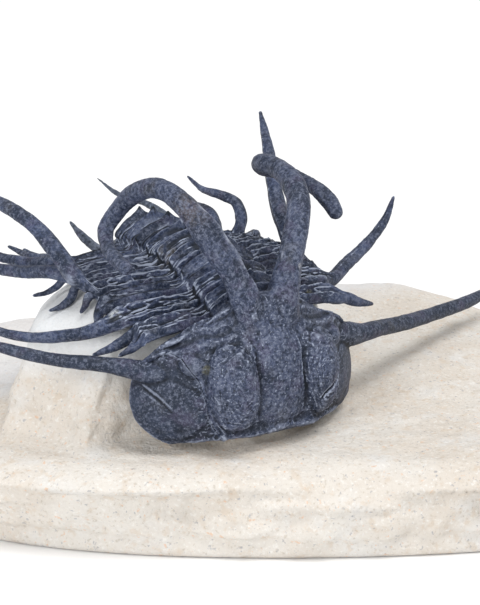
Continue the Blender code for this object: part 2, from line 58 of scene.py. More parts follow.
# thorax; the back line is given as y and z from the neck to the tail
SEGMENTS = 9
PITCH = 3.0
THORAX_START = 2.4
HALF_WIDTHS = (15.0, 15.8, 16.0, 15.6, 15.0, 14.2, 13.0, 10.8, 8.8)
AXIS_HALF_WIDTH = 5.8
AXIS_HEIGHT = 3.8
SHELL = 0.95
SWEEP_FRONT, SWEEP_REAR = 0.02, 0.7
TAIL_START = THORAX_START + SEGMENTS * PITCH
BACK_LINE = (
    (0.0, 37.4), (5.0, 39.0), (10.0, 41.0), (15.0, 42.0), (20.0, 42.3), (25.0, 42.0), (30.0, 40.6),
    (34.0, 38.0), (37.0, 34.6), (38.5, 31.0),
)
SEAM = 0.22
TAIL_HALF_WIDTH, TAIL_LENGTH, TAIL_ROUNDING = 8.2, 6.2, 2.6

# cross-section of a segment from its front edge, -1, to its rear edge, 1, and its height
UNDERSIDE = ((1.0, 0.1), (0.9, -SHELL), (0.0, -SHELL), (-0.9, -SHELL), (-1.0, -0.5))
RING_TOP = (
    (-1, -0.6), (-0.78, -0.45), (-0.35, 0.5), (0.1, 0.2), (0.45, 0.4), (0.72, 1.0), (1, 0.0),
)
FLANK_TOP = ((-1, -0.5), (-0.6, 0.4), (-0.1, -0.3), (0.5, 0.6), (1, -0.4))
TOP_POINTS, UNDER_POINTS = 40, 18
RIB_COLUMNS = 190

# spines of the nine segments as x, y, z and radius; hooks by the number of their segment;
# tail spines after the x and the back-line place of their roots
RIGHT_SPINES = (
    ((-15.9, 5.4, 36.3, 0.65), (-18.0, 6.0, 35.0, 0.18)),
    (
        (-17.6, 10.0, 37.9, 1.05), (-22.0, 14.0, 36.2, 0.8), (-25.0, 17.2, 35.8, 0.66),
        (-29.5, 22.0, 37.0, 0.5), (-33.0, 26.0, 38.6, 0.2),
    ),
    ((-16.8, 12.4, 39.2, 0.8), (-17.4, 12.2, 37.2, 0.3)),
    (
        (-17.0, 18.0, 42.2, 1.2), (-17.6, 21.0, 44.4, 1.15), (-19.0, 25.0, 47.8, 1.0),
        (-22.0, 30.0, 50.6, 0.8), (-26.0, 36.5, 52.6, 0.25),
    ),
    (
        (-17.4, 22.2, 41.8, 0.9), (-19.4, 28.0, 40.8, 0.8), (-21.8, 34.0, 40.4, 0.65),
        (-24.5, 40.0, 40.4, 0.2),
    ),
    (
        (-15.9, 25.0, 41.9, 0.85), (-17.2, 30.5, 41.1, 0.75), (-18.8, 36.0, 40.9, 0.6),
        (-21.0, 42.0, 41.5, 0.2),
    ),
    ((-14.4, 28.0, 41.6, 0.7), (-14.2, 30.2, 41.3, 0.5), (-13.9, 32.4, 41.1, 0.18)),
    ((-12.6, 30.6, 40.8, 0.7), (-13.6, 35.6, 40.0, 0.5), (-14.4, 40.6, 40.4, 0.18)),
    ((-10.7, 32.4, 39.8, 0.65), (-11.6, 37.0, 39.2, 0.45), (-11.8, 41.0, 39.4, 0.18)),
)
LEFT_SPINES = (
    ((17.0, 5.2, 36.8, 0.8), (19.5, 5.6, 35.6, 0.6), (22.5, 6.2, 34.6, 0.18)),
    (
        (18.0, 10.2, 37.8, 1.05), (22.6, 12.6, 38.6, 0.9), (28.4, 14.8, 40.6, 0.75),
        (31.8, 16.0, 42.8, 0.55), (33.6, 16.6, 45.6, 0.2),
    ),
    ((16.9, 12.6, 39.0, 0.8), (18.0, 13.2, 37.4, 0.3)),
    (
        (16.8, 18.2, 42.2, 1.2), (17.7, 21.3, 44.2, 1.15), (19.5, 25.7, 47.6, 1.0),
        (22.0, 30.7, 51.2, 0.8), (25.0, 37.0, 54.6, 0.25),
    ),
    ((17.0, 22.5, 39.8, 0.65), (20.0, 27.0, 38.2, 0.65), (23.5, 33.0, 36.2, 0.2)),
    ((16.2, 25.2, 40.7, 0.7), (18.4, 30.6, 38.6, 0.6), (20.5, 36.5, 36.8, 0.2)),
    (
        (14.6, 26.4, 42.9, 0.85), (15.2, 28.4, 44.6, 0.75), (14.6, 32.0, 45.2, 0.65),
        (14.2, 35.5, 45.2, 0.45), (14.2, 39.5, 46.2, 0.15),
    ),
    (
        (12.8, 30.2, 41.2, 1.0), (13.8, 32.8, 42.1, 0.95), (14.6, 37.0, 42.2, 0.6),
        (15.0, 41.6, 41.6, 0.18),
    ),
    ((10.7, 32.4, 39.8, 0.65), (11.6, 37.0, 39.2, 0.45), (11.8, 41.0, 39.4, 0.18)),
)
HOOKS = {
    2: (
        (-13.9, 7.3, 37.6, 0.8), (-15.8, 7.5, 36.5, 0.8), (-17.8, 8.1, 35.5, 0.6),
        (-20.0, 9.2, 34.6, 0.2),
    ),
    4: (
        (-14.8, 15.4, 40.6, 0.55), (-16.6, 15.7, 40.0, 0.6), (-17.0, 15.8, 39.0, 0.45),
        (-17.6, 16.0, 38.0, 0.18),
    ),
    5: (
        (-14.0, 18.8, 41.0, 0.55), (-16.3, 19.3, 40.4, 0.6), (-16.9, 19.4, 39.1, 0.6),
        (-18.2, 19.7, 38.1, 0.45), (-19.9, 20.2, 37.6, 0.18),
    ),
    6: (
        (-13.2, 22.2, 41.0, 0.55), (-15.6, 23.0, 40.6, 0.5), (-16.8, 23.4, 39.5, 0.45),
        (-18.0, 23.9, 38.8, 0.38), (-19.8, 24.6, 38.5, 0.18),
    ),
}
TAIL_SPINES = (
    (
        (4.6, 31.8),
        (
            (6.6, 32.6, 42.6, 0.6), (5.9, 37.0, 44.0, 0.5), (5.0, 43.0, 44.1, 0.42),
            (5.0, 49.0, 45.2, 0.13),
        ),
    ),
    ((-4.6, 31.8), ((-6.2, 33.8, 41.8, 0.6), (-6.6, 37.2, 43.6, 0.2))),
    ((6.2, 32.6), ((8.6, 35.2, 38.3, 0.4), (9.6, 39.0, 38.2, 0.15))),
    ((-6.2, 32.6), ((-8.6, 35.2, 38.3, 0.4), (-9.6, 39.0, 38.2, 0.15))),
    ((2.0, 34.2), ((2.6, 37.0, 37.2, 0.4), (3.0, 40.5, 36.0, 0.15))),
    ((-2.0, 34.2), ((-2.6, 37.0, 37.2, 0.4), (-3.0, 40.5, 36.0, 0.15))),
)

# head: rows from the neck down the front face, in the middle and along the margin
HEAD_MIDDLE = (
    (0.7, 42.0), (-0.9, 41.7), (-1.4, 39.9), (-2.6, 37.8), (-4.0, 35.2), (-4.5, 32.4), (-4.8, 29.6),
    (-4.7, 27.2), (-4.3, 25.8), (-4.9, 24.8),
)
HEAD_EDGE = (
    (6.2, 2.0, 38.2), (8.0, 2.4, 37.8), (10.4, 2.9, 37.0), (13.2, 3.4, 36.0), (15.6, 4.2, 34.6),
    (16.8, 4.9, 32.2), (17.0, 5.0, 29.6), (16.6, 4.2, 26.8), (15.2, 2.6, 24.8), (13.4, 1.2, 23.5),
)
LAST_ROW = 9.0
HEAD_SHELL = 1.6

# seam of the head shield: its rows, its x there and the angle left clear on either side
SUTURE_ROWS = (3.2, 3.5, 4.0, 5.0, 6.0, 7.0, 8.0, 9.0)
SUTURE_X = (13.6, 12.9, 11.8, 10.6, 10.0, 9.6, 8.8, 7.7)
SHIELD_CLEAR, CHEEK_CLEAR = 0.001, 0.004

# horns and cheek spines as x, y, z and radius, and the sides of the horns that carry a keel
RIGHT_HORN = (
    (-4.1, 0.7, 45.1, 1.65), (-6.35, 2.4, 49.6, 1.8), (-8.2, 4.7, 53.3, 1.55),
    (-9.0, 9.2, 54.85, 1.35), (-9.5, 14.8, 53.3, 1.3), (-10.2, 18.6, 50.0, 1.2),
    (-11.7, 18.9, 47.9, 1.1), (-13.2, 16.4, 46.6, 1.0), (-14.4, 12.4, 45.8, 1.0),
    (-15.4, 7.6, 45.6, 0.85),
)
LEFT_HORN = (
    (4.6, 0.6, 44.6, 1.7), (7.2, 2.8, 48.2, 1.65), (9.2, 5.0, 51.0, 1.6), (10.9, 9.0, 52.8, 1.55),
    (11.8, 14.0, 53.6, 1.35), (12.2, 18.2, 53.2, 1.25), (13.9, 20.0, 51.9, 1.15),
    (16.3, 18.4, 51.2, 1.05), (17.0, 14.5, 50.6, 1.0), (17.0, 11.0, 50.0, 1.1),
    (17.1, 8.5, 48.8, 1.1), (16.9, 6.8, 47.4, 0.85),
)
RIGHT_KEEL, LEFT_KEEL = (0.485, -0.712, 0.472), (-0.85, -0.25, 0.2)
RIGHT_CHEEK_SPINE = (
    (-11.6, 2.4, 32.6, 0.6), (-13.6, 2.8, 32.8, 1.3), (-15.6, 3.6, 33.2, 1.45),
    (-18.0, 4.6, 33.9, 1.2), (-21.0, 6.4, 34.5, 1.0), (-25.0, 9.0, 35.0, 0.9),
    (-30.5, 13.6, 36.4, 0.75), (-36.0, 19.0, 38.4, 0.2),
)
LEFT_CHEEK_SPINE = (
    (12.6, 3.0, 32.6, 1.6), (15.2, 3.5, 32.4, 1.75), (18.6, 4.0, 31.8, 1.4), (22.0, 5.2, 31.4, 1.2),
    (28.5, 8.0, 30.2, 1.1), (38.5, 12.0, 29.0, 1.0), (48.0, 16.0, 28.2, 0.85),
    (56.0, 20.5, 28.0, 0.2),
)

# swollen roots of the horns and the rolled rear border of the head, x, y, z and radius
NECK_ROOTS = (
    ((-2.6, -0.2, 34.0, 1.6), (-2.5, -0.7, 38.0, 2.05), (-2.9, -0.6, 41.2, 1.95)),
    ((2.3, -0.2, 34.0, 1.6), (2.4, -0.7, 38.0, 2.2), (2.9, -0.5, 41.2, 2.15)),
)
NECK_MIDDLE = (
    (0.0, 0.0, 34.0, 1.8), (0.0, -0.5, 37.6, 2.45), (0.0, 0.1, 40.6, 2.15), (0.0, 0.8, 42.0, 0.9),
)
REAR_BORDER = (
    (4.8, 1.7, 38.9, 0.5), (7.6, 2.1, 38.5, 0.6), (10.4, 2.5, 37.3, 0.65), (13.0, 2.8, 36.2, 0.6),
    (15.0, 3.4, 34.9, 0.45), (16.2, 4.0, 33.8, 0.3),
)

# crack on the left side of the head, pale ridge and cheek groove on the right
CRACK_X = (5.0, 5.7, 7.0, 8.2, 10.0)
CRACK_Z = (27.8, 28.8, 29.7, 30.2, 30.7)
RIDGE_Z = (25.4, 27.0, 28.5, 31.2)
RIDGE_X = (-7.9, -8.6, -9.2, -9.6)
GROOVE_X = (-16.2, -15.0, -13.8)
GROOVE_Z = (31.2, 29.9, 28.3)

# fineness of the finished surfaces and of the tubes they start from
SHELL_GRAIN = 0.17
ROCK_GRAIN = 0.5
TUBE_STEP, HOOK_STEP, SPINE_STEP = 0.3, 0.16, 0.28
HORN_SIDES = 44

# blunt tips, wobble of spines, rounds of smoothing
TIP_SIZE, TIP_AREA = 0.2, 0.03
WOBBLE = 0.07
SHELL_ROUNDS, ROUGH_ROUNDS, NECK_ROUNDS = 5, 3, 22

# how much wider than ridges the hollows and their level are measured
HOLLOW_REACH, LEVEL_REACH = 14, 4

# painted highlight line along the keel of each horn
KEEL_POINTS, KEEL_CLEAR, KEEL_HIGHLIGHT_WIDTH = 90, 1.1, 0.17

# light and camera
SKY_STRENGTH = 0.62
SUN_STRENGTH, SUN_SPREAD, SUN_FROM = 1.7, math.radians(30), (0.10, -0.35, 1.0)
CAMERA_TURN, CAMERA_TILT, CAMERA_DISTANCE = math.radians(-34), math.radians(18), 360.0
PICTURE_WIDTH, PICTURE_HEIGHT, PIXELS_PER_MM = 480, 605, 7.8
NECK, NECK_ACROSS, NECK_DOWN = np.array([0.0, 0.0, 42.0]), 262, 292
FILM_SIZE = 36.0


def hermite(points, count):
    """Points spaced evenly along a smooth curve through the given points."""
    p = np.array(points, dtype=float)
    steps = np.linalg.norm(np.diff(p[:, :3], axis=0), axis=1)
    t = np.concatenate(([0.0], np.cumsum(steps)))
    slope = np.gradient(p, t, axis=0)
    s = np.linspace(0.0, t[-1], count)
    k = np.clip(np.searchsorted(t, s, side="right") - 1, 0, len(t) - 2)
    width = (t[k + 1] - t[k])[:, None]
    u = (s - t[k])[:, None] / width
    start, end = p[k], p[k + 1]
    leave, arrive = width * slope[k], width * slope[k + 1]
    ease = 3 * u**2 - 2 * u**3
    return start + ease * (end - start) + (u**3 - 2 * u**2 + u) * leave + (u**3 - u**2) * arrive


def back_line():
    """Arc length, y and z, and unit tangent of the back line."""
    line = hermite([(0.0, y, z) for y, z in BACK_LINE], 160)[:, 1:]
    step = np.linalg.norm(np.diff(line, axis=0), axis=1)
    s = np.concatenate(([0.0], np.cumsum(step)))
    tangent = np.gradient(line, s, axis=0)
    return s, line, tangent / np.linalg.norm(tangent, axis=1)[:, None]


ARC, LINE, TANGENT = back_line()


def smooth(x, low, high):
    """Eased step from 0 at low to 1 at high."""
    t = np.clip((x - low) / (high - low), 0.0, 1.0)
    return t * t * (3 - 2 * t)


def grain(points, size, seed=0.0):
    """Noise between about -1 and 1 whose lumps are size millimetres across."""
    scaled = np.asarray(points, dtype=float).reshape(-1, 3) / size + seed
    return np.array([noise.noise(Vector(p)) for p in scaled])


def band(values, width):
    """1 where the values are 0, falling to 0 beside them within about the width."""
    return np.exp(-((values / width) ** 2))


def axis_half_width(s):
    return np.interp(s, (0.0, 20.0, 36.0), (AXIS_HALF_WIDTH, 5.0, 3.0))


def body_height(x, s):
    """Height of the vaulted axis or the drooping flank above the back line."""
    a = axis_half_width(s)
    end = np.interp(s, (14.0, 20.0, 31.0, 35.0), (1.0, 0.8, 0.8, 0.15))
    vault = AXIS_HEIGHT * end * np.clip(1.0 - (x / a) ** 2, 0.0, 1.0) ** 0.6
    corner = 0.45 * band(np.abs(x) - a, 0.8)
    return vault + corner - 0.012 * np.clip(np.abs(x) - a, 0.0, None) ** 2


def sweep(x, s):
    """How far the flank at x lies behind the axis."""
    share = (s - THORAX_START) / (TAIL_START - THORAX_START)
    rate = SWEEP_FRONT + (SWEEP_REAR - SWEEP_FRONT) * share
    out = np.abs(x)
    return 0.15 * np.minimum(out, 6.0) + rate * np.clip(out - 6.0, 0.0, None)


def body_point(x, s, lift):
    """Point on the back, lifted at right angles to the vault of the axis or to the flank."""
    y, z = np.interp(s, ARC, LINE[:, 0]), np.interp(s, ARC, LINE[:, 1])
    ty, tz = np.interp(s, ARC, TANGENT[:, 0]), np.interp(s, ARC, TANGENT[:, 1])
    a = axis_half_width(s)
    slope = np.clip((body_height(x + 0.15, s) - body_height(x - 0.15, s)) / 0.3, -2.5, 2.5)
    slope = slope * smooth(-np.abs(x) / a, -1.02, -0.85)
    length = np.sqrt(1 + slope**2)
    h = body_height(x, s) + lift / length
    return np.stack(np.broadcast_arrays(x - lift * slope / length, y - tz * h, z + ty * h), axis=-1)


def skin(bm, rings):
    """Closed skin over rings of equal point count, made from a prism bent on to them."""
    count, sides = rings.shape[:2]
    first = len(bm.verts)
    bmesh.ops.create_cone(bm, cap_ends=True, segments=sides, radius1=1, radius2=1, depth=2)
    bm.verts.ensure_lookup_table()
    new = bm.verts[first:]
    long = {e for v in new for e in v.link_edges if abs(e.verts[0].co.z - e.verts[1].co.z) > 1}
    if count > 2:
        bmesh.ops.subdivide_edges(bm, edges=sorted(long, key=lambda e: e.index), cuts=count - 2)
    bm.verts.ensure_lookup_table()
    for v in bm.verts[first:]:
        k = round((v.co.z + 1) / 2 * (count - 1))
        j = round(math.atan2(v.co.y, v.co.x) / (2 * math.pi) * sides) % sides
        v.co = rings[k, j]


def plate(bm, outer, inner):
    """Closed plate between two grids of points, made in an empty mesh from a flat slab."""
    rows, columns = outer.shape[:2]
    bmesh.ops.create_grid(bm, x_segments=columns - 1, y_segments=rows - 1, size=1)
    bm.faces.ensure_lookup_table()
    made = bmesh.ops.extrude_face_region(bm, geom=bm.faces[:], use_keep_orig=True)
    for v in made["geom"]:
        if isinstance(v, bmesh.types.BMVert):
            v.co.z = -1
    for v in bm.verts:
        r = round((v.co.y + 1) / 2 * (rows - 1))
        c = round((v.co.x + 1) / 2 * (columns - 1))
        v.co = (outer if v.co.z > -0.5 else inner)[r, c]


def put(name, data):
    obj = bpy.data.objects.new(name, data)
    bpy.context.scene.collection.objects.link(obj)
    return obj


def blank(name, fill):
    """Object in millimetres whose mesh is filled in by a function."""
    bm = bmesh.new()
    fill(bm)
    bmesh.ops.recalc_face_normals(bm, faces=bm.faces)
    mesh = bpy.data.meshes.new(name)
    bm.to_mesh(mesh)
    bm.free()
    return put(name, mesh)


def settle(obj):
    """Replace the mesh by what its modifiers make of it."""
    graph = bpy.context.evaluated_depsgraph_get()
    old = obj.data
    obj.data = bpy.data.meshes.new_from_object(obj.evaluated_get(graph))
    obj.modifiers.clear()
    bpy.data.meshes.remove(old)
    obj.data.name = obj.name


def fuse(obj, size, rounds):
    """One closed skin round everything in the object, with its joins smoothed over."""
    remesh = obj.modifiers.new("fuse", "REMESH")
    remesh.mode = "VOXEL"
    remesh.voxel_size = size
    settle(obj)
    soften(obj, rounds)


def soften(obj, rounds, where=lambda p: True):
    """Smooth the surface a number of times, at all points or at chosen ones."""
    bm = bmesh.new()
    bm.from_mesh(obj.data)
    chosen = [v for v in bm.verts if where(v.co)]
    axes = {f"use_axis_{axis}": True for axis in "xyz"}
    for _ in range(rounds):
        bmesh.ops.smooth_vert(bm, verts=chosen, factor=0.5, **axes)
    bm.to_mesh(obj.data)
    bm.free()


def points_of(obj, what="co"):
    """Places, or normals, of the points of a mesh, one row each."""
    out = np.zeros(len(obj.data.vertices) * 3)
    obj.data.vertices.foreach_get(what, out)
    return out.reshape(-1, 3)


def carve(obj, depth):
    """Raise or cut the surface along its normals by a depth worked out from its points."""
    p, n = points_of(obj), points_of(obj, "normal")
    p += n * depth(p, n)[:, None]
    obj.data.vertices.foreach_set("co", p.ravel())
    obj.data.update()


def mark_relief(obj, rounds, spread):
    """Store how far points stand above their near and wide surroundings."""
    edges = np.zeros(len(obj.data.edges) * 2, dtype=int)
    obj.data.edges.foreach_get("vertices", edges)
    a, b = edges.reshape(-1, 2).T
    p, n = points_of(obj), points_of(obj, "normal")
    count = np.maximum(np.bincount(np.concatenate((a, b)), minlength=len(p)), 1)

    def around(values, times):
        for _ in range(times):
            summed = np.bincount(a, values[b], len(p)) + np.bincount(b, values[a], len(p))
            values = summed / count
        return values

    for name, times in (("relief", rounds), ("hollow", HOLLOW_REACH * rounds)):
        mean = np.stack([around(p[:, k], times) for k in range(3)], axis=1)
        height = ((p - mean) * n).sum(axis=1)
        height -= around(height, LEVEL_REACH * times)
        height /= np.percentile(np.abs(height), spread)
        attribute = obj.data.attributes.new(name, "FLOAT", "POINT")
        attribute.data.foreach_set("value", height.astype(np.float32))


def mark_highlight_lines(obj, routes):
    """Store 1 at the points along routes over the surface, falling to 0 beside them, as the mask of
    a painted highlight line.
    """
    p = points_of(obj)
    apart = np.full(len(p), np.inf)
    for route in routes:
        for point in route:
            apart = np.minimum(apart, ((p - point) ** 2).sum(axis=1))
    attribute = obj.data.attributes.new("line", "FLOAT", "POINT")
    attribute.data.foreach_set("value", np.exp(-apart / KEEL_HIGHLIGHT_WIDTH**2).astype(np.float32))


def keel_route(points, keel):
    """Points along the outside of a tube, on the side that keel points to."""
    path = hermite(points, KEEL_POINTS)
    along = np.gradient(path[:, :3], axis=0)
    along /= np.linalg.norm(along, axis=1)[:, None]
    out = np.array(keel) - along * (along @ np.array(keel))[:, None]
    return path[:, :3] + path[:, 3:] * KEEL_CLEAR * out / np.linalg.norm(out, axis=1)[:, None]


def finish_piece(obj, finish, node, rounds=3, spread=68):
    """Set the piece in the shared frame, in metres, in place of its plain solid."""
    mark_relief(obj, rounds, spread)
    p = (points_of(obj) + PLACE) * MM
    obj.data.vertices.foreach_set("co", p.ravel())
    obj.data.polygons.foreach_set("use_smooth", [True] * len(obj.data.polygons))
    obj.data.update()
    obj.data.materials.clear()
    obj.data.materials.append(finish)
    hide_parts(node)
    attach(obj, "root")


def carried_frames(path, side, up):
    """Across and up vectors carried along a path without twist."""
    frames = []
    for k in range(len(path)):
        direction = path[min(k + 1, len(path) - 1)] - path[max(k - 1, 0)]
        direction = direction / np.linalg.norm(direction)
        side = side - direction * (side @ direction)
        side = side / np.linalg.norm(side)
        lift = np.cross(direction, side)
        up = lift if lift @ up > 0 else -lift
        frames.append((side, up))
    return frames


def chain_length(points):
    """Length of the straight links between points."""
    return np.linalg.norm(np.diff(np.array(points)[:, :3], axis=0), axis=1).sum()


def spine_tube(points, sides, step=TUBE_STEP, keel=None, flare=0.0, seed=0.0):
    """Rings of a tapering spine with a blunt tip, and a low keel where keel points to."""
    length = chain_length(points)
    count = max(6, int(length / step))
    path = hermite(points, count)
    centre, radius = path[:, :3], path[:, 3].copy()
    run = np.linspace(0.0, length, count)
    end = max(radius[-1], TIP_SIZE)
    near_tip = np.clip((run - length + end) / end, 0, 1)
    radius *= np.sqrt(np.clip(1 - near_tip**2, TIP_AREA, 1))
    radius *= 1 + flare * np.exp(-run / 2.2)
    wobble = grain(np.stack((run, run * 0, run * 0 + seed), axis=1), 2.4, seed)
    radius *= 1 + WOBBLE * wobble
    frames = carried_frames(centre, np.array([0.3, 0.2, 1.0]), np.array([0.1, 1.0, 0.2]))
    turn = np.arange(sides) * 2 * math.pi / sides
    rings = []
    for c, r, (side, lift) in zip(centre, radius, frames):
        around = np.outer(np.cos(turn), side) + np.outer(np.sin(turn), lift)
        proud = np.ones(sides)
        if keel is not None:
            facing = around @ np.array(keel) / np.linalg.norm(keel)
            proud += 0.26 * band(1 - facing, 0.02) - 0.07 * band(0.86 - facing, 0.07)
        rings.append(c + r * around * proud[:, None])
    return np.array(rings)


# head


def head_row(table, v):
    """Value of a head table at any row, eased between the listed rows."""
    p = np.array(table, dtype=float)
    k = np.minimum(v.astype(int), len(p) - 2)
    u = (v - k)[..., None]
    before, after = p[np.maximum(k - 1, 0)], p[np.minimum(k + 2, len(p) - 1)]
    leave, arrive = (p[k + 1] - before) / 2, (after - p[k]) / 2
    ease = 3 * u**2 - 2 * u**3
    return p[k] + ease * (p[k + 1] - p[k]) + (u**3 - 2 * u**2 + u) * leave + (u**3 - u**2) * arrive


def head_base(angle, v):
    """Smooth head surface; the angle runs from the middle, 0, to the margin, +-90 degrees."""
    middle, edge = head_row(HEAD_MIDDLE, v), head_row(HEAD_EDGE, v)
    c, s = np.clip(np.cos(angle), 0.0, None), np.sin(angle)
    arch = np.interp(v, (0.0, 3.0), (1.0, 0.0))
    drop = arch * (1 - c**0.8) + (1 - arch) * s * s
    back = np.clip((np.abs(s) - 0.33) / 0.67, 0.0, None) ** 1.3
    back = arch * (1 - c**0.72) + (1 - arch) * back
    y = middle[..., 0] + (edge[..., 1] - middle[..., 0]) * back
    z = middle[..., 1] + (edge[..., 2] - middle[..., 1]) * drop
    return np.stack((edge[..., 0] * s, y, z), axis=-1)


def head_normal(angle, v, reach=0.08):
    """Normal of the smooth head surface, taken over a reach in rows."""
    e, side = 0.3 * reach, 1.55
    right, left = np.maximum(angle - e, -side), np.minimum(angle + e, side)
    above, below = np.maximum(v - reach, 0.0), np.minimum(v + reach, LAST_ROW)
    across = head_base(left, v) - head_base(right, v)
    down = head_base(angle, below) - head_base(angle, above)
    n = np.cross(down, across)
    return n / np.linalg.norm(n, axis=-1)[..., None]


def dome(x, z, cx, cz, rx, rz):
    """Swelling on both sides of the head, seen from the front, given by middle and radii."""
    d = ((np.abs(x) - cx) / rx) ** 2 + ((z - cz) / rz) ** 2
    return np.clip(1 - d, 0.0, 1.0) ** 0.6


def head_relief(p, v):
    """Swellings of the head: middle lobe, side lobes, eye, cheek lobe and border."""
    x, z = p[..., 0], p[..., 2]
    lift = 0.9 * dome(x, z, 0.0, 31.5, 3.3, 8.5)
    lift += 1.9 * dome(x, z, 6.7, 31.2, 3.1, 5.6)
    lift += 0.6 * dome(x, z, 1.7, 38.9, 1.2, 1.3)
    lift += 0.9 * dome(x, z, 11.0, 34.2, 1.3, 1.4)
    lift += 1.0 * dome(x, z, 14.0, 28.0, 4.2, 4.2)
    lift += 0.20 * np.interp(v, (8.3, 8.7, 9.0), (0.0, 1.0, 0.4))
    lift -= 0.09 * band(v - 8.4, 0.12)
    return lift


def head_pair(angle, v, shrink=1.0):
    """Points of the outer surface and of the inside of the shell."""
    base = head_base(angle, v)
    outer = base + head_normal(angle, v) * head_relief(base, v)[..., None]
    upward = np.clip(np.cos(angle), 0.4, None)
    arch = np.stack((0.75 * np.sin(angle), -0.15 + 0 * angle, upward), axis=-1)
    arch /= np.linalg.norm(arch, axis=-1)[..., None]
    share = np.interp(v, (2.0, 3.2), (1.0, 0.0))[..., None]
    inward = share * arch + (1 - share) * head_normal(angle, v, 0.9)
    depth = HEAD_SHELL * shrink * (1 - 0.4 * np.sin(angle) ** 8)
    return outer, base - inward * depth[..., None]


def suture_angle(v):
    """Angle of the seam between the head shield and the free cheek at any row."""
    x = np.interp(v, SUTURE_ROWS, SUTURE_X)
    angle = np.arcsin(np.clip(x / head_row(HEAD_EDGE, v)[..., 0], -1.0, 1.0))
    return np.where(v <= SUTURE_ROWS[0], math.pi / 2, angle)


def head_detail(p, n):
    """Wrinkles, furrows, cracks and scars of the head, by place."""
    x, z = p[:, 0], p[:, 2]
    out = np.abs(x)
    front = smooth(-n[:, 1], 0.0, 0.5)
    wave = grain(p, 3.0, 5.0)
    furrow = band(out - 3.55 - 0.25 * wave, 0.3)
    furrow = furrow * smooth(z, 25.6, 27.5) * smooth(-z, -38.5, -35.5)
    lip = band(x - 3.0 - 0.2 * wave, 0.16) * smooth(z, 28.0, 30.5) * smooth(-z, -38.0, -36.0)
    depth = 0.13 * lip - np.where(x > 0, 0.12, 0.17) * furrow

    across, down = (out - 6.7) / 3.1, (z - 31.2) / 5.6
    lobe = np.sqrt(across**2 + down**2)
    turn = np.arctan2(down, across)
    swirl = 1.5 * wave + 0.5 * grain(p, 1.2, 8.0)
    ring_x, ring_z = 2.4 * np.cos(turn) + 9.0 * np.sign(x), 2.4 * np.sin(turn)
    loops = grain(np.stack((lobe * 15.0 + swirl, ring_x, ring_z), axis=1), 1.0)
    on_lobe = smooth(lobe, 0.1, 0.4) * smooth(-lobe, -1.4, -0.95)
    folds = 0.07 * band(loops, 0.14) - 0.03 + 0.08 * loops
    depth += (folds + 0.12 * grain(p, 1.5, 12.0)) * on_lobe

    neck = smooth(z, 33.5, 36.0) * smooth(-out, -6.5, -4.5)
    lines = grain(np.stack((x * 1.5 + 0.35 * z, z * 0.22, 0 * z), axis=1), 1.0, 6.0)
    depth += (0.05 * band(lines, 0.10) + 0.05 * lines) * neck
    for at_x, at_z, size in ((-3.0, 40.0, 0.6), (0.3, 39.2, 0.75)):
        knob = np.sqrt((x - at_x) ** 2 + (z - at_z) ** 2) / size
        depth += 0.15 * smooth(-knob, -1.1, -0.3) - 0.06 * band(knob - 1.4, 0.3)
        depth -= 0.05 * band(knob, 0.3)

    middle = smooth(-out, -3.4, -2.6) * smooth(-z, -36.0, -34.0)
    upright = grain(np.stack((x * 3.0, z * 0.45, 0 * z), axis=1), 1.0, 14.0)
    depth += (0.04 * band(upright, 0.12) + 0.04 * upright) * middle

    rear = smooth(z, 34.8, 36.4) * smooth(out, 4.2, 6.0)
    depth += 0.24 * np.sin((z + 0.30 * out) * 4.2 + 1.6 * wave) * rear
    depth += 0.28 * band(x - np.interp(z, RIDGE_Z, RIDGE_X), 0.25) * smooth(-z, -32.2, -31.0)
    groove = np.interp(x, GROOVE_X, GROOVE_Z)
    on_groove = smooth(x, -16.6, -15.6) * smooth(-x, 13.2, 14.0)
    on_groove = on_groove * (0.4 + 0.6 * smooth(wave, -0.2, 0.3))
    depth -= 0.12 * band(z - groove, 0.3) * on_groove
    depth += 0.09 * band(z - groove - 0.6, 0.22) * on_groove
    border = smooth(-z, -26.6, -25.4)
    depth += 0.20 * grain(p * np.array([0.5, 1.0, 1.0]), 1.6, 15.0) * border - 0.04 * border
    depth *= front

    crack = np.interp(x, CRACK_X, CRACK_Z)
    on_crack = smooth(x, CRACK_X[0], CRACK_X[0] + 0.5) * smooth(-x, -CRACK_X[-1], 0.5 - CRACK_X[-1])
    apart = z - crack - 0.25 * wave
    opening = 0.40 * band(apart, 0.2) + 0.16 * band(apart, 0.7)
    depth -= opening * on_crack * front

    smooth_cheek = smooth(out, 10.0, 12.0) * smooth(-z, -36.0, -33.0)
    rough = 1 - 0.65 * smooth_cheek
    scratch = grain(p * np.array([1.0, 1.0, 2.2]) + 0.4 * wave[:, None], 1.1, 11.0)
    pitted = grain(p * np.array([1.6, 1.0, 0.7]), 1.0, 2.0)
    depth += rough * (0.13 * grain(p, 2.4, 1.0) + 0.05 * pitted)
    depth += rough * (0.06 * band(scratch, 0.09) - 0.01)
    return depth


def horn_grain(p):
    return 0.07 * grain(p, 1.4, 20.0) + 0.04 * grain(p, 0.5, 21.0)


def cranidium_detail(p, n):
    """Detail of the head shield, passing into that of the horns."""
    horn = smooth(p[:, 2], 41.6, 43.0)
    return head_detail(p, n) * (1 - horn) + horn_grain(p) * horn


def cheek_detail(p, n):
    """Detail of a free cheek, passing into that of its spine."""
    spine = smooth(np.abs(p[:, 0]), 17.2, 18.6)
    return head_detail(p, n) * (1 - spine) + 0.45 * horn_grain(p) * spine


def on_neck(p):
    """Whether a point lies on the swollen roots of the horns."""
    return 34.0 < p.z < 43.0 and abs(p.x) < 4.8 and p.y < 1.0


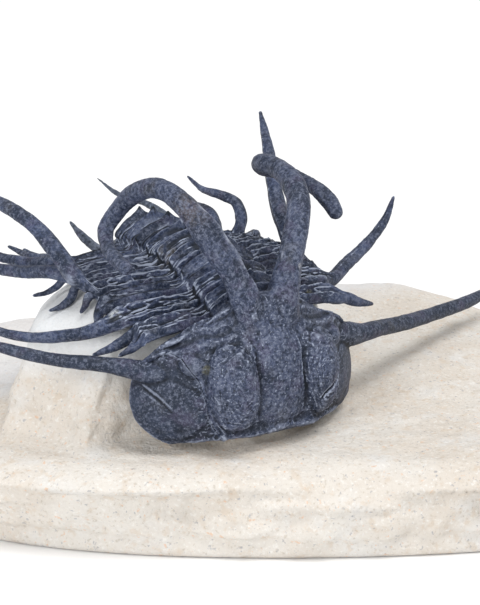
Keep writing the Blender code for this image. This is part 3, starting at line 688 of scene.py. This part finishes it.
def make_cranidium(finish):
    v = np.concatenate((np.linspace(0, 3.0, 40), np.linspace(3.05, LAST_ROW, 90)))
    limit = suture_angle(v) - np.where(v > SUTURE_ROWS[0], SHIELD_CLEAR, 0.0)
    angle = limit[:, None] * np.linspace(-1, 1, 181)[None, :]
    outer, inner = head_pair(angle, np.broadcast_to(v[:, None], angle.shape))

    def fill(bm):
        plate(bm, outer, inner)
        skin(bm, spine_tube(NECK_ROOTS[0] + RIGHT_HORN, HORN_SIDES, keel=RIGHT_KEEL, seed=1.0))
        skin(bm, spine_tube(NECK_ROOTS[1] + LEFT_HORN, HORN_SIDES, keel=LEFT_KEEL, seed=4.0))
        skin(bm, spine_tube(NECK_MIDDLE, 20, seed=6.0))
        for sign in (-1, 1):
            drop = 0.35 if sign > 0 else 0.0
            border = [(sign * x, y, z - drop, r * (1 - drop)) for x, y, z, r in REAR_BORDER]
            skin(bm, spine_tube(border, 16, seed=5.0 * sign))

    head = blank("cranidium_shell", fill)
    fuse(head, SHELL_GRAIN, SHELL_ROUNDS)
    soften(head, NECK_ROUNDS, on_neck)
    carve(head, cranidium_detail)
    # routes of the painted highlight along the keels of the horns
    keels = (keel_route(RIGHT_HORN[:3], RIGHT_KEEL), keel_route(LEFT_HORN[:3], LEFT_KEEL))
    mark_highlight_lines(head, keels)
    finish_piece(head, finish, "cranidium", spread=84)


def make_cheek(name, sign, spine, finish):
    """Free cheek with its spine, on the side of the sign."""
    v = np.linspace(3.5, LAST_ROW, 90)
    low = suture_angle(v) - CHEEK_CLEAR
    angle = sign * (low[:, None] + (math.pi / 2 - low)[:, None] * np.linspace(0, 1, 60)[None, :])
    outer, inner = head_pair(angle, np.broadcast_to(v[:, None], angle.shape))

    def fill(bm):
        plate(bm, outer, inner)
        skin(bm, spine_tube(spine, 24, seed=7.0 + sign))

    cheek = blank(f"{name}_shell", fill)
    fuse(cheek, SHELL_GRAIN, SHELL_ROUNDS)
    carve(cheek, cheek_detail)
    finish_piece(cheek, finish, name)


# thorax and tail


def outline(top, underside):
    """Closed cross-section of a segment from its top and its underside."""
    over = hermite([(p, q, 0) for p, q in top], TOP_POINTS)
    under = hermite([(p, q, 0) for p, q in underside], UNDER_POINTS)
    return np.vstack((over, under[1:-1]))


def rib_rings(i):
    """Rings of one segment from its right end to its left end."""
    middle = THORAX_START + PITCH * (i + 0.5)
    a, edge = float(axis_half_width(middle)), HALF_WIDTHS[i]
    x = np.linspace(-edge, edge, RIB_COLUMNS)
    out = np.abs(x)
    blend = np.interp(out, (0.6 * a, 0.85 * a, 1.0 * a, 1.15 * a), (0.0, 0.1, 0.5, 1.0))[:, None]
    ring = outline(RING_TOP, UNDERSIDE)
    flank = outline(FLANK_TOP, [(p, q - (0.4 if p == 1.0 else 0.0)) for p, q in UNDERSIDE])
    place = (1 - blend) * ring[:, 0] + blend * flank[:, 0]
    lift = (1 - blend) * ring[:, 1] + blend * flank[:, 1]
    top = np.zeros(len(ring))
    top[:TOP_POINTS] = np.sin(np.linspace(0, math.pi, TOP_POINTS)) ** 0.5
    crest = 1.35 * np.exp(-out / 0.5) + 0.25 * band(out, 2.0)
    lift = lift + crest[:, None] * band(place - 0.66, 0.26) * top
    streaked = np.broadcast_arrays(x[:, None] * 0.16, place * 1.5, 3.1 * i + 0.0 * place)
    streak = grain(np.stack(streaked, axis=-1), 0.42, 0.7 * i).reshape(place.shape)
    fine = band(streak, 0.14) * 0.26 + np.sin(place * 15.0 + 3.0 * streak + i) * 0.07
    lift = lift + (0.35 + 0.65 * blend) * top * (0.20 * streak + fine)
    knotted = np.broadcast_arrays(x[:, None], place * 1.3, 5.0 * i + 0 * place)
    knot = grain(np.stack(knotted, axis=-1), 1.25, 2.0)
    lift = lift + (1 - 0.5 * blend) * top * 0.20 * knot.reshape(place.shape)
    s = middle + place * (PITCH - SEAM) / 2
    across = np.broadcast_to(x[:, None], s.shape)
    return body_point(across, s + sweep(across, s), lift)


# turns round a flank spine that match the points of the cross-section
SPINE_TURNS = np.radians(
    np.concatenate((np.linspace(188, -8, TOP_POINTS), np.linspace(-8, -172, UNDER_POINTS)[1:-1]))
)


def spine_from(root, sign, points):
    """Rings that carry the end of a flank over into its spine."""
    first = root.mean(axis=0)
    start = (*first, min(1.2, points[0][3] * 1.15))
    length = chain_length((start, *points))
    count = max(8, int(length / SPINE_STEP))
    path = hermite((start, *points), count + 1)
    side = root[TOP_POINTS - 1] - root[0]
    side /= np.linalg.norm(side)
    up = np.cross(side, np.array([sign, 0.0, 0.0]))
    up = up if up[2] > 0 else -up
    frames = carried_frames(path[:, :3], side, up)
    run = np.linspace(0, length, count + 1)
    ridge = 1 + 0.04 * np.cos(3 * SPINE_TURNS) + 0.16 * band(SPINE_TURNS - math.radians(72), 0.2)
    wobble = 1 + WOBBLE * grain(np.stack((run, run * 0, run * 0), axis=1), 2.2, root[0][0])
    reach = min(3.2, length * 0.55)
    rings = []
    for k in range(1, count + 1):
        s, u = frames[k]
        near_tip = max(0.0, (run[k] - length + TIP_SIZE) / TIP_SIZE)
        r = path[k, 3] * wobble[k] * math.sqrt(max(TIP_AREA, 1 - near_tip**2))
        around = np.outer(np.cos(SPINE_TURNS), s) + np.outer(np.sin(SPINE_TURNS), u)
        circle = path[k, :3] + r * ridge[:, None] * around
        shape = smooth(run[k], 0.0, reach)
        carried = first + (root - first) * (1 - 0.3 * shape) + path[k, :3] - path[0, :3]
        rings.append((1 - shape) * carried + shape * circle)
    return np.array(rings)


def segment_detail(p, n):
    return 0.05 * grain(p, 1.1, 31.0) + 0.035 * grain(p, 0.45, 32.0)


def make_segment(i, finish):
    body = rib_rings(i)
    right = spine_from(body[0], -1, RIGHT_SPINES[i])
    left = spine_from(body[-1], 1, LEFT_SPINES[i])
    name = f"thoracic_segment_{i + 1}"
    whole = np.concatenate((right[::-1], body, left))
    segment = blank(f"{name}_shell", lambda bm: skin(bm, whole))
    if i + 1 in HOOKS:
        for sign in (1, -1):
            hook = [(sign * x, y, z, r) for x, y, z, r in HOOKS[i + 1]]
            rings = spine_tube(hook, 24, HOOK_STEP, seed=2.0 * i)
            join(segment, blank("hook", lambda bm: skin(bm, rings)))
    carve(segment, segment_detail)
    finish_piece(segment, finish, name)


def join(body, tool):
    """Fuse one solid into another."""
    union = body.modifiers.new("join", "BOOLEAN")
    union.operation = "UNION"
    union.solver = "EXACT"
    union.object = tool
    settle(body)
    bpy.data.objects.remove(tool)


def make_tail(finish):
    v, c = np.meshgrid(np.linspace(0, 1, 60), np.linspace(-1, 1, 140), indexing="ij")
    x = TAIL_HALF_WIDTH * c * (1.0 - 0.28 * v * v)
    front = TAIL_START + 0.1 + sweep(x, TAIL_START + 0.1)
    s = front + (TAIL_START + TAIL_LENGTH - TAIL_ROUNDING * c * c - front) * v
    ringed = 0.35 * np.cos(v * 5 * math.pi) * np.clip(1 - np.abs(c) * 1.8, 0.0, None)
    ribbed = 0.25 * np.cos(np.abs(c) * 5 * math.pi)
    outer = body_point(x, s, ringed + ribbed - 0.1 - 0.4 * v)
    inner = body_point(x, s, -SHELL - 0.2)

    def fill(bm):
        plate(bm, outer, inner)
        for (root_x, root_s), points in TAIL_SPINES:
            start = (*body_point(root_x, root_s, -0.55), 0.55 if len(points) < 4 else 0.8)
            skin(bm, spine_tube((start, *points), 14, flare=0.3, seed=root_x))

    tail = blank("pygidium_shell", fill)
    fuse(tail, SHELL_GRAIN, ROUGH_ROUNDS)
    carve(tail, segment_detail)
    finish_piece(tail, finish, "pygidium")


# limestone


def ground(x, y):
    """Height of the open rock surface."""
    u = x * TURN_COS + y * TURN_SIN
    w = y * TURN_COS - x * TURN_SIN
    z = BLOCK_LEVEL - 0.0004 * (u * u + w * w)
    for middle_u, middle_w, radius, height in SWELLS:
        z = z + height * np.exp(-((u - middle_u) ** 2 + (w - middle_w) ** 2) / radius**2)
    flat = np.stack((x * 0.06, y * 0.06, 2.0 + 0 * x), axis=-1)
    bump = grain(flat, 1.0).reshape(x.shape)
    return z + 1.2 * bump * np.minimum(1.0, (u * u + w * w) / 900.0)


def slab_rim(turn, share, z):
    """Rounded outline of the slab, shrunk to a share of its size."""
    c, s = np.cos(turn), np.sin(turn)
    size = share * (np.abs(c) ** 3 + np.abs(s) ** 3) ** (-1 / 3)
    size = size * (1.0 + 0.07 * grain(np.stack((c * 1.7, s * 1.7, 0.12 * z + 0 * c), axis=-1), 1.0))
    u, w = BLOCK_HALF_U * c * size, BLOCK_MIDDLE_W + BLOCK_HALF_W * s * size
    return u * TURN_COS - w * TURN_SIN, u * TURN_SIN + w * TURN_COS


def slab_rings():
    """Rings of the slab from the middle of its top over the rim to its foot."""
    turn = np.arange(RIM_POINTS) * 2 * math.pi / RIM_POINTS
    rings = []
    for share in np.concatenate((np.linspace(0.02, 0.85, 34), np.linspace(0.865, 1.0, 10))):
        x, y = slab_rim(turn, share, 0.0)
        edge = 2.5 * max(0.0, (share - 0.85) / 0.15) ** 2
        rings.append(np.stack((x, y, ground(x, y) - edge), axis=-1))
    rim = rings[-1]
    for level, share in ((0.75, 1.012), (0.5, 1.02), (0.3, 1.01), (0.12, 0.975), (0.0, 0.945)):
        z = BLOCK_BASE + (rim[:, 2] - BLOCK_BASE) * level
        x, y = slab_rim(turn, share, BLOCK_BASE + 8.0 * level)
        rings.append(np.stack((x, y, z), axis=-1))
    return np.array(rings)


def mound_rings():
    """Rock left standing under the thorax and tail."""
    rings = []
    clear = SHELL + 0.25
    for s in (8.5, 10.5, 12.5, 15.5, 19.0, 23.0, 27.0, 30.0, 32.5):
        i = max(0, min(SEGMENTS - 1, int((s - 5.5) / PITCH)))
        edge = (HALF_WIDTHS[i] - 1.0) * (0.88 if s < 9.0 else 1.0)
        a = float(axis_half_width(s))
        y = float(np.interp(s, ARC, LINE[:, 0]))
        wide = float(np.interp(y, (5.0, 14.0, 22.0, 30.0), (2.0, 4.0, 11.0, 9.5)))
        top = [-edge, -edge * 0.7, -a, -0.8 * a, -0.35 * a, 0.35 * a, 0.8 * a, a, edge * 0.7, edge]
        ring = [body_point(x, s, -clear) for x in top]
        z = ring[0][2]
        rings.append(
            [
                (-edge - wide - 9.0, y - 2.0, MOUND_FOOT),
                (-edge - wide - 4.0, y - 1.0, 24.0),
                (-edge - wide, y, z - 5.0),
                (-edge - 0.4 * wide, y, z - 2.2),
                *ring,
                (edge + 2.0, y, z - 3.6),
                (edge + 5.0, y, z - 10.0),
                (edge + 11.0, y, MOUND_FOOT),
            ]
        )
    rear = rings[-1]
    for back, fall, narrow in ((2.0, 4.0, 0.97), (6.0, 10.0, 0.9), (11.0, 24.0, 0.8)):
        rings.append([(p[0] * narrow, p[1] + back, max(MOUND_FOOT, p[2] - fall)) for p in rear])
    return np.array(rings, dtype=float)


def head_filling_rings():
    """Rock inside the hollow of the head, joined to the mound behind."""
    turn = np.radians((-66, -55, -40, -20, 0, 20, 40, 55, 66))
    rings = []
    for v in (2.6, 3.3, 4.2, 5.4, 6.6, 7.6, 8.6):
        row = head_pair(turn, np.full(len(turn), v), 1.2)[1]
        low = row[len(turn) // 2][2] - 1.0
        rings.append([*row, (11.0, 9.5, low), (-11.0, 9.5, low)])
    rings.append([(p[0], p[1], 18.0) for p in rings[-1]])
    return np.array(rings, dtype=float)


def rock_detail(p, n):
    """Lumps and broken faces of the rock; the underside stays flat."""
    side = smooth(-n[:, 2], -0.75, -0.2)
    lump = 0.30 * grain(p, 4.5, 41.0) + 0.16 * grain(p, 1.8, 42.0)
    broken = grain(p * np.array([1.0, 1.0, 1.6]), 6.0, 43.0)
    chipped = 1.1 * broken + 0.5 * grain(p, 2.4, 44.0) - 1.5
    free = smooth(p[:, 2], BLOCK_BASE + 0.2, BLOCK_BASE + 2.0)
    return (lump * (1 - side) + chipped * side) * free


def make_matrix(finish):
    """Slab of rock with the mound under the fossil, fused to one skin."""
    mound = blank("mound", lambda bm: (skin(bm, mound_rings()), skin(bm, head_filling_rings())))
    rounded = mound.modifiers.new("rounded", "SUBSURF")
    rounded.levels = rounded.render_levels = 2
    settle(mound)
    slab = blank("matrix_rock", lambda bm: skin(bm, slab_rings()))
    bm = bmesh.new()
    bm.from_mesh(slab.data)
    bm.from_mesh(mound.data)
    bm.to_mesh(slab.data)
    bm.free()
    bpy.data.objects.remove(mound)
    fuse(slab, ROCK_GRAIN, ROUGH_ROUNDS)
    carve(slab, rock_detail)
    finish_piece(slab, finish, "matrix")


# finishes


class Value:
    """Number socket that can be used in sums."""

    def __init__(self, finish, socket):
        self.finish, self.socket = finish, socket

    def math(self, operation, first, second):
        return self.finish.node("ShaderNodeMath", {"operation": operation}, {0: first, 1: second})

    def __add__(self, other):
        return self.math("ADD", self, other)

    def __radd__(self, other):
        return self.math("ADD", other, self)

    def __sub__(self, other):
        return self.math("SUBTRACT", self, other)

    def __rsub__(self, other):
        return self.math("SUBTRACT", other, self)

    def __mul__(self, other):
        return self.math("MULTIPLY", self, other)

    def __rmul__(self, other):
        return self.math("MULTIPLY", other, self)


class Finish:
    """Material whose nodes are made one by one."""

    def __init__(self, name):
        self.material = bpy.data.materials.new(name)
        self.material.use_nodes = True
        self.tree = self.material.node_tree
        self.surface = self.tree.nodes["Principled BSDF"]
        self.place = self.node("ShaderNodeTexCoord", output="Object")

    def node(self, kind, settings=(), inputs=(), output=0):
        made = self.tree.nodes.new(kind)
        for key, value in dict(settings).items():
            setattr(made, key, value)
        for key, value in dict(inputs).items():
            self.feed(made.inputs[key], value)
        return Value(self, made.outputs[output])

    def feed(self, socket, value):
        if isinstance(value, Value):
            self.tree.links.new(value.socket, socket)
        else:
            socket.default_value = value

    def noise(self, size, detail=3.0, shift=0.0, stretch=(1, 1, 1), rough=0.55):
        """Noise from 0 to 1 with lumps of size millimetres."""
        inputs = {"Vector": self.place, "Location": (shift, shift, shift), "Scale": stretch}
        moved = self.node("ShaderNodeMapping", {}, inputs)
        inputs = {"Vector": moved, "Scale": 1 / (size * MM), "Detail": detail, "Roughness": rough}
        return self.node("ShaderNodeTexNoise", {}, inputs)

    def fade(self, value, low, high, start=0.0, end=1.0):
        """Eased step of a value between low and high."""
        inputs = {"Value": value, "From Min": low, "From Max": high, "To Min": start, "To Max": end}
        return self.node("ShaderNodeMapRange", {"interpolation_type": "SMOOTHSTEP"}, inputs)

    def mix(self, mask, below, above):
        below = (*below, 1.0) if isinstance(below, tuple) else below
        above = (*above, 1.0) if isinstance(above, tuple) else above
        return self.node("ShaderNodeMix", {"data_type": "RGBA"}, {0: mask, 6: below, 7: above}, 2)

    def tint(self, colour, value, low, high, share, tone):
        """Colour taken a share of the way to a tone as a value goes from low to high."""
        return self.mix(self.fade(value, low, high, 0.0, share), colour, tone)

    def bump(self, height, strength, distance):
        inputs = {"Height": height, "Strength": strength, "Distance": distance * MM}
        return self.node("ShaderNodeBump", {}, inputs, "Normal")

    def stored(self, name):
        """Value stored at the points of the mesh."""
        return self.node("ShaderNodeAttribute", {"attribute_name": name}, output="Fac")

    def near(self, spot, radius):
        """1 at a spot given in drawing millimetres, falling to 0 at the radius."""
        at = tuple((np.array(spot) + PLACE) * MM)
        inputs = {0: self.place, 1: at}
        away = self.node("ShaderNodeVectorMath", {"operation": "DISTANCE"}, inputs, "Value")
        return self.fade(away, 0.3 * radius * MM, radius * MM, 1.0, 0.0)

    def along(self, axis):
        """Place of a point along one axis of the shared frame."""
        return self.node("ShaderNodeSeparateXYZ", {}, {0: self.place}, output=axis)

    def done(self, colour, roughness, normal, specular=0.5):
        self.feed(self.surface.inputs["Base Color"], colour)
        self.feed(self.surface.inputs["Roughness"], roughness)
        self.feed(self.surface.inputs["Normal"], normal)
        self.surface.inputs["Specular IOR Level"].default_value = specular
        return self.material


def shell_finish(name, shift, dark, middle, wear_and_highlight, hollow_shade, grains, patches=()):
    """Slate-dark fossil shell with scratches, ridges lightened partly by abrasion and partly as
    painted highlight, painted shade in the hollows and furrows, and a painted highlight line along
    the horn keels.
    """
    f = Finish(name)
    relief, hollow = f.stored("relief"), f.stored("hollow")
    colour = f.mix(f.fade(f.noise(4.0, 4, shift), 0.36, 0.64), dark, middle)
    colour = f.tint(colour, f.noise(3.0, 4, shift + 0.3), 0.52, 0.68, 0.45, (0.085, 0.072, 0.128))
    colour = f.tint(colour, f.noise(4.2, 4, shift + 0.7), 0.58, 0.72, 0.30, (0.105, 0.098, 0.085))
    for spot, radius, share, tint in patches:
        mottled = f.near(spot, radius) * f.fade(f.noise(0.9, 4, shift + 4.0), 0.35, 0.55)
        colour = f.mix(mottled * share, colour, tint)
    fine = f.noise(0.42, 4, shift + 1.1, rough=0.7)
    scuffs = f.noise(0.9, 5, shift + 1.7, (1.0, 0.7, 2.2), 0.7)
    mottle = f.noise(0.55, 4, shift + 6.0, rough=0.8)
    colour = f.tint(colour, mottle, 0.50, 0.60, grains, (0.150, 0.170, 0.235))
    colour = f.tint(colour, mottle, 0.49, 0.39, grains, (0.012, 0.018, 0.034))
    colour = f.tint(colour, scuffs, 0.54, 0.74, 0.55, (0.165, 0.188, 0.265))
    colour = f.tint(colour, fine, 0.56, 0.68, 0.40, (0.22, 0.24, 0.31))
    colour = f.tint(colour, fine, 0.46, 0.34, 0.60, (0.010, 0.015, 0.027))
    # painted shade: the shell goes near black in the broad hollows and furrows
    colour = f.tint(colour, hollow, -0.2, -2.2, hollow_shade, (0.006, 0.010, 0.018))
    # partly real abrasion and partly painted highlight: raised parts and ridges lighter
    colour = f.tint(colour, hollow + (scuffs - 0.5) * 5.0, 0.8, 3.0, 0.6 * wear_and_highlight, (0.23, 0.26, 0.34))
    worn_and_highlight = f.fade(relief + (scuffs - 0.5) * 4.0, 0.8, 2.9, 0.0, wear_and_highlight)
    colour = f.mix(worn_and_highlight, colour, (0.32, 0.36, 0.46))
    # painted shade: near black in the small crevices
    colour = f.tint(colour, relief, -0.7, -2.7, 0.85, (0.007, 0.010, 0.017))
    # painted highlight: pale line along the keels of the horns
    keel = f.stored("line") * f.fade(scuffs, 0.30, 0.50, 0.5, 1.0)
    colour = f.mix(keel, colour, (0.45, 0.48, 0.57))
    height = f.noise(0.30, 4, shift + 2.1) + f.noise(0.9, 4, shift + 2.9) * 1.5
    roughness = 0.40 + fine * 0.26 + worn_and_highlight * 0.1
    return f.done(colour, roughness, f.bump(height, 0.8, 0.16), 0.25)


def rock_finish():
    """Pale sandy limestone with tan, orange and grey grains."""
    f = Finish("limestone")
    blotches = f.fade(f.noise(14.0, 4), 0.38, 0.62)
    colour = f.mix(blotches, (0.72, 0.682, 0.628), (0.675, 0.617, 0.548))
    colour = f.tint(colour, f.noise(6.0, 5, 0.4), 0.5, 0.7, 0.7, (0.73, 0.715, 0.69))
    colour = f.tint(colour, f.noise(1.6, 5, 0.9), 0.54, 0.68, 0.35, (0.60, 0.47, 0.34))
    fine = f.noise(0.5, 3, 1.3)
    colour = f.tint(colour, fine, 0.58, 0.70, 0.5, (0.47, 0.41, 0.33))
    colour = f.tint(colour, f.noise(0.8, 3, 2.3), 0.64, 0.72, 0.6, (0.72, 0.44, 0.26))
    colour = f.tint(colour, f.noise(0.6, 4, 3.3), 0.62, 0.70, 0.7, (0.36, 0.36, 0.38))
    colour = f.tint(colour, fine, 0.42, 0.32, 0.6, (0.82, 0.80, 0.76))
    height = f.noise(0.45, 5, 4.1) + f.noise(1.6, 4, 4.7) * 1.6
    high = f.fade(f.along(2), 0.018, 0.024)
    rear = f.fade(f.along(1), 0.008, 0.020)
    colour = f.mix(high * 0.75, colour, (0.74, 0.77, 0.80))
    colour = f.mix(rear * 0.5, colour, (0.73, 0.745, 0.79))
    return f.done(colour, 0.92, f.bump(height, 0.7, 0.28), 0.25)


# surroundings


def light(name, position, size, power, colour):
    """Round lamp turned to the middle of the frame."""
    lamp = bpy.data.lights.new(name, "AREA")
    lamp.shape = "DISK"
    lamp.size = size
    lamp.energy = power
    lamp.color = colour
    holder = put(name, lamp)
    holder.location = position
    holder.rotation_euler = (-Vector(position)).to_track_quat("-Z", "Y").to_euler()


def make_surroundings():
    """Pale floor and soft light from above."""
    scene = bpy.context.scene
    grid = {"x_segments": 1, "y_segments": 1, "size": 3.0}
    floor = blank("floor", lambda bm: bmesh.ops.create_grid(bm, **grid))
    pale = Finish("pale_floor")
    cloudy = pale.fade(pale.noise(60.0, 2), 0.3, 0.7)
    tone = pale.mix(cloudy, (0.90, 0.90, 0.90), (0.93, 0.93, 0.93))
    floor.data.materials.append(pale.done(tone, 0.9, pale.bump(pale.noise(8.0, 3), 0.05, 0.2)))
    world = bpy.data.worlds.new("studio")
    world.use_nodes = True
    sky = world.node_tree.nodes["Background"].inputs
    sky["Color"].default_value = (1.0, 1.0, 1.0, 1.0)
    sky["Strength"].default_value = SKY_STRENGTH
    scene.world = world
    scene.view_settings.view_transform = "Standard"
    sun = bpy.data.lights.new("soft_sun", "SUN")
    sun.energy, sun.angle = SUN_STRENGTH, SUN_SPREAD
    holder = put("soft_sun", sun)
    holder.rotation_euler = Vector(SUN_FROM).to_track_quat("Z", "Y").to_euler()
    light("left_side", (-0.5, -0.25, 0.25), 0.25, 1.2, (0.97, 0.98, 1.0))


def make_camera():
    """Camera placed so that the neck falls on its pixel at the scale of the picture."""
    cos_turn, sin_turn = math.cos(CAMERA_TURN), math.sin(CAMERA_TURN)
    cos_tilt, sin_tilt = math.cos(CAMERA_TILT), math.sin(CAMERA_TILT)
    right = np.array([cos_turn, sin_turn, 0.0])
    up = np.array([-sin_turn * sin_tilt, cos_turn * sin_tilt, cos_tilt])
    back = np.array([sin_turn * cos_tilt, -cos_turn * cos_tilt, sin_tilt])
    aside, below = NECK_ACROSS - PICTURE_WIDTH / 2, NECK_DOWN - PICTURE_HEIGHT / 2
    target = NECK - right * aside / PIXELS_PER_MM + up * below / PIXELS_PER_MM
    camera = put("camera", bpy.data.cameras.new("camera"))
    camera.data.sensor_width = FILM_SIZE
    camera.data.lens = FILM_SIZE * PIXELS_PER_MM * CAMERA_DISTANCE / PICTURE_HEIGHT
    camera.data.clip_start, camera.data.clip_end = 0.01, 10.0
    camera.location = (target + back * CAMERA_DISTANCE + PLACE) * MM
    camera.rotation_euler = Vector(back).to_track_quat("Z", "Y").to_euler()
    bpy.context.scene.camera = camera


# patches of colour as the spot, its radius, the share of the tint and the tint
head_patches = (
    ((-9.7, -1.8, 33.8), 0.9, 0.9, (0.26, 0.25, 0.15)),
    ((-9.0, 3.0, 54.0), 4.0, 0.5, (0.12, 0.10, 0.085)),
    ((5.2, -0.8, 44.8), 0.6, 0.8, (0.45, 0.46, 0.50)),
    ((-5.6, 1.6, 48.2), 2.0, 0.5, (0.21, 0.22, 0.21)),
    ((-3.6, -0.4, 43.4), 1.6, 0.5, (0.22, 0.24, 0.26)),
)
cheek_patches = (((13.0, 2.4, 34.8), 3.6, 0.8, (0.020, 0.026, 0.046)),)
rib_patches = (
    ((-4.6, 15.2, 43.6), 2.8, 0.8, (0.125, 0.115, 0.10)),
    ((-16.3, 9.5, 39.2), 1.1, 0.95, (0.60, 0.63, 0.64)),
    ((11.1, 5.0, 38.4), 0.8, 0.9, (0.34, 0.32, 0.18)),
)
head_finish = shell_finish(
    "head_shell", 0.0, (0.027, 0.037, 0.067), (0.062, 0.079, 0.139), 0.9, 0.65, 0.8, head_patches
)
cheek_finish = shell_finish(
    "cheek_shell", 5.0, (0.014, 0.021, 0.039), (0.029, 0.041, 0.074), 0.45, 0.5, 0.55, cheek_patches
)
rib_finish = shell_finish(
    "thorax_shell", 9.0, (0.018, 0.028, 0.056), (0.060, 0.081, 0.153), 1.0, 0.9, 0.65, rib_patches
)
tail_finish = shell_finish(
    "tail_shell", 13.0, (0.060, 0.076, 0.105), (0.110, 0.130, 0.168), 0.7, 0.7, 0.5
)

make_matrix(rock_finish())
make_cranidium(head_finish)
make_cheek("right_free_cheek", -1, RIGHT_CHEEK_SPINE, cheek_finish)
make_cheek("left_free_cheek", 1, LEFT_CHEEK_SPINE, cheek_finish)
for number in range(SEGMENTS):
    make_segment(number, rib_finish)
make_tail(tail_finish)
make_surroundings()
make_camera()
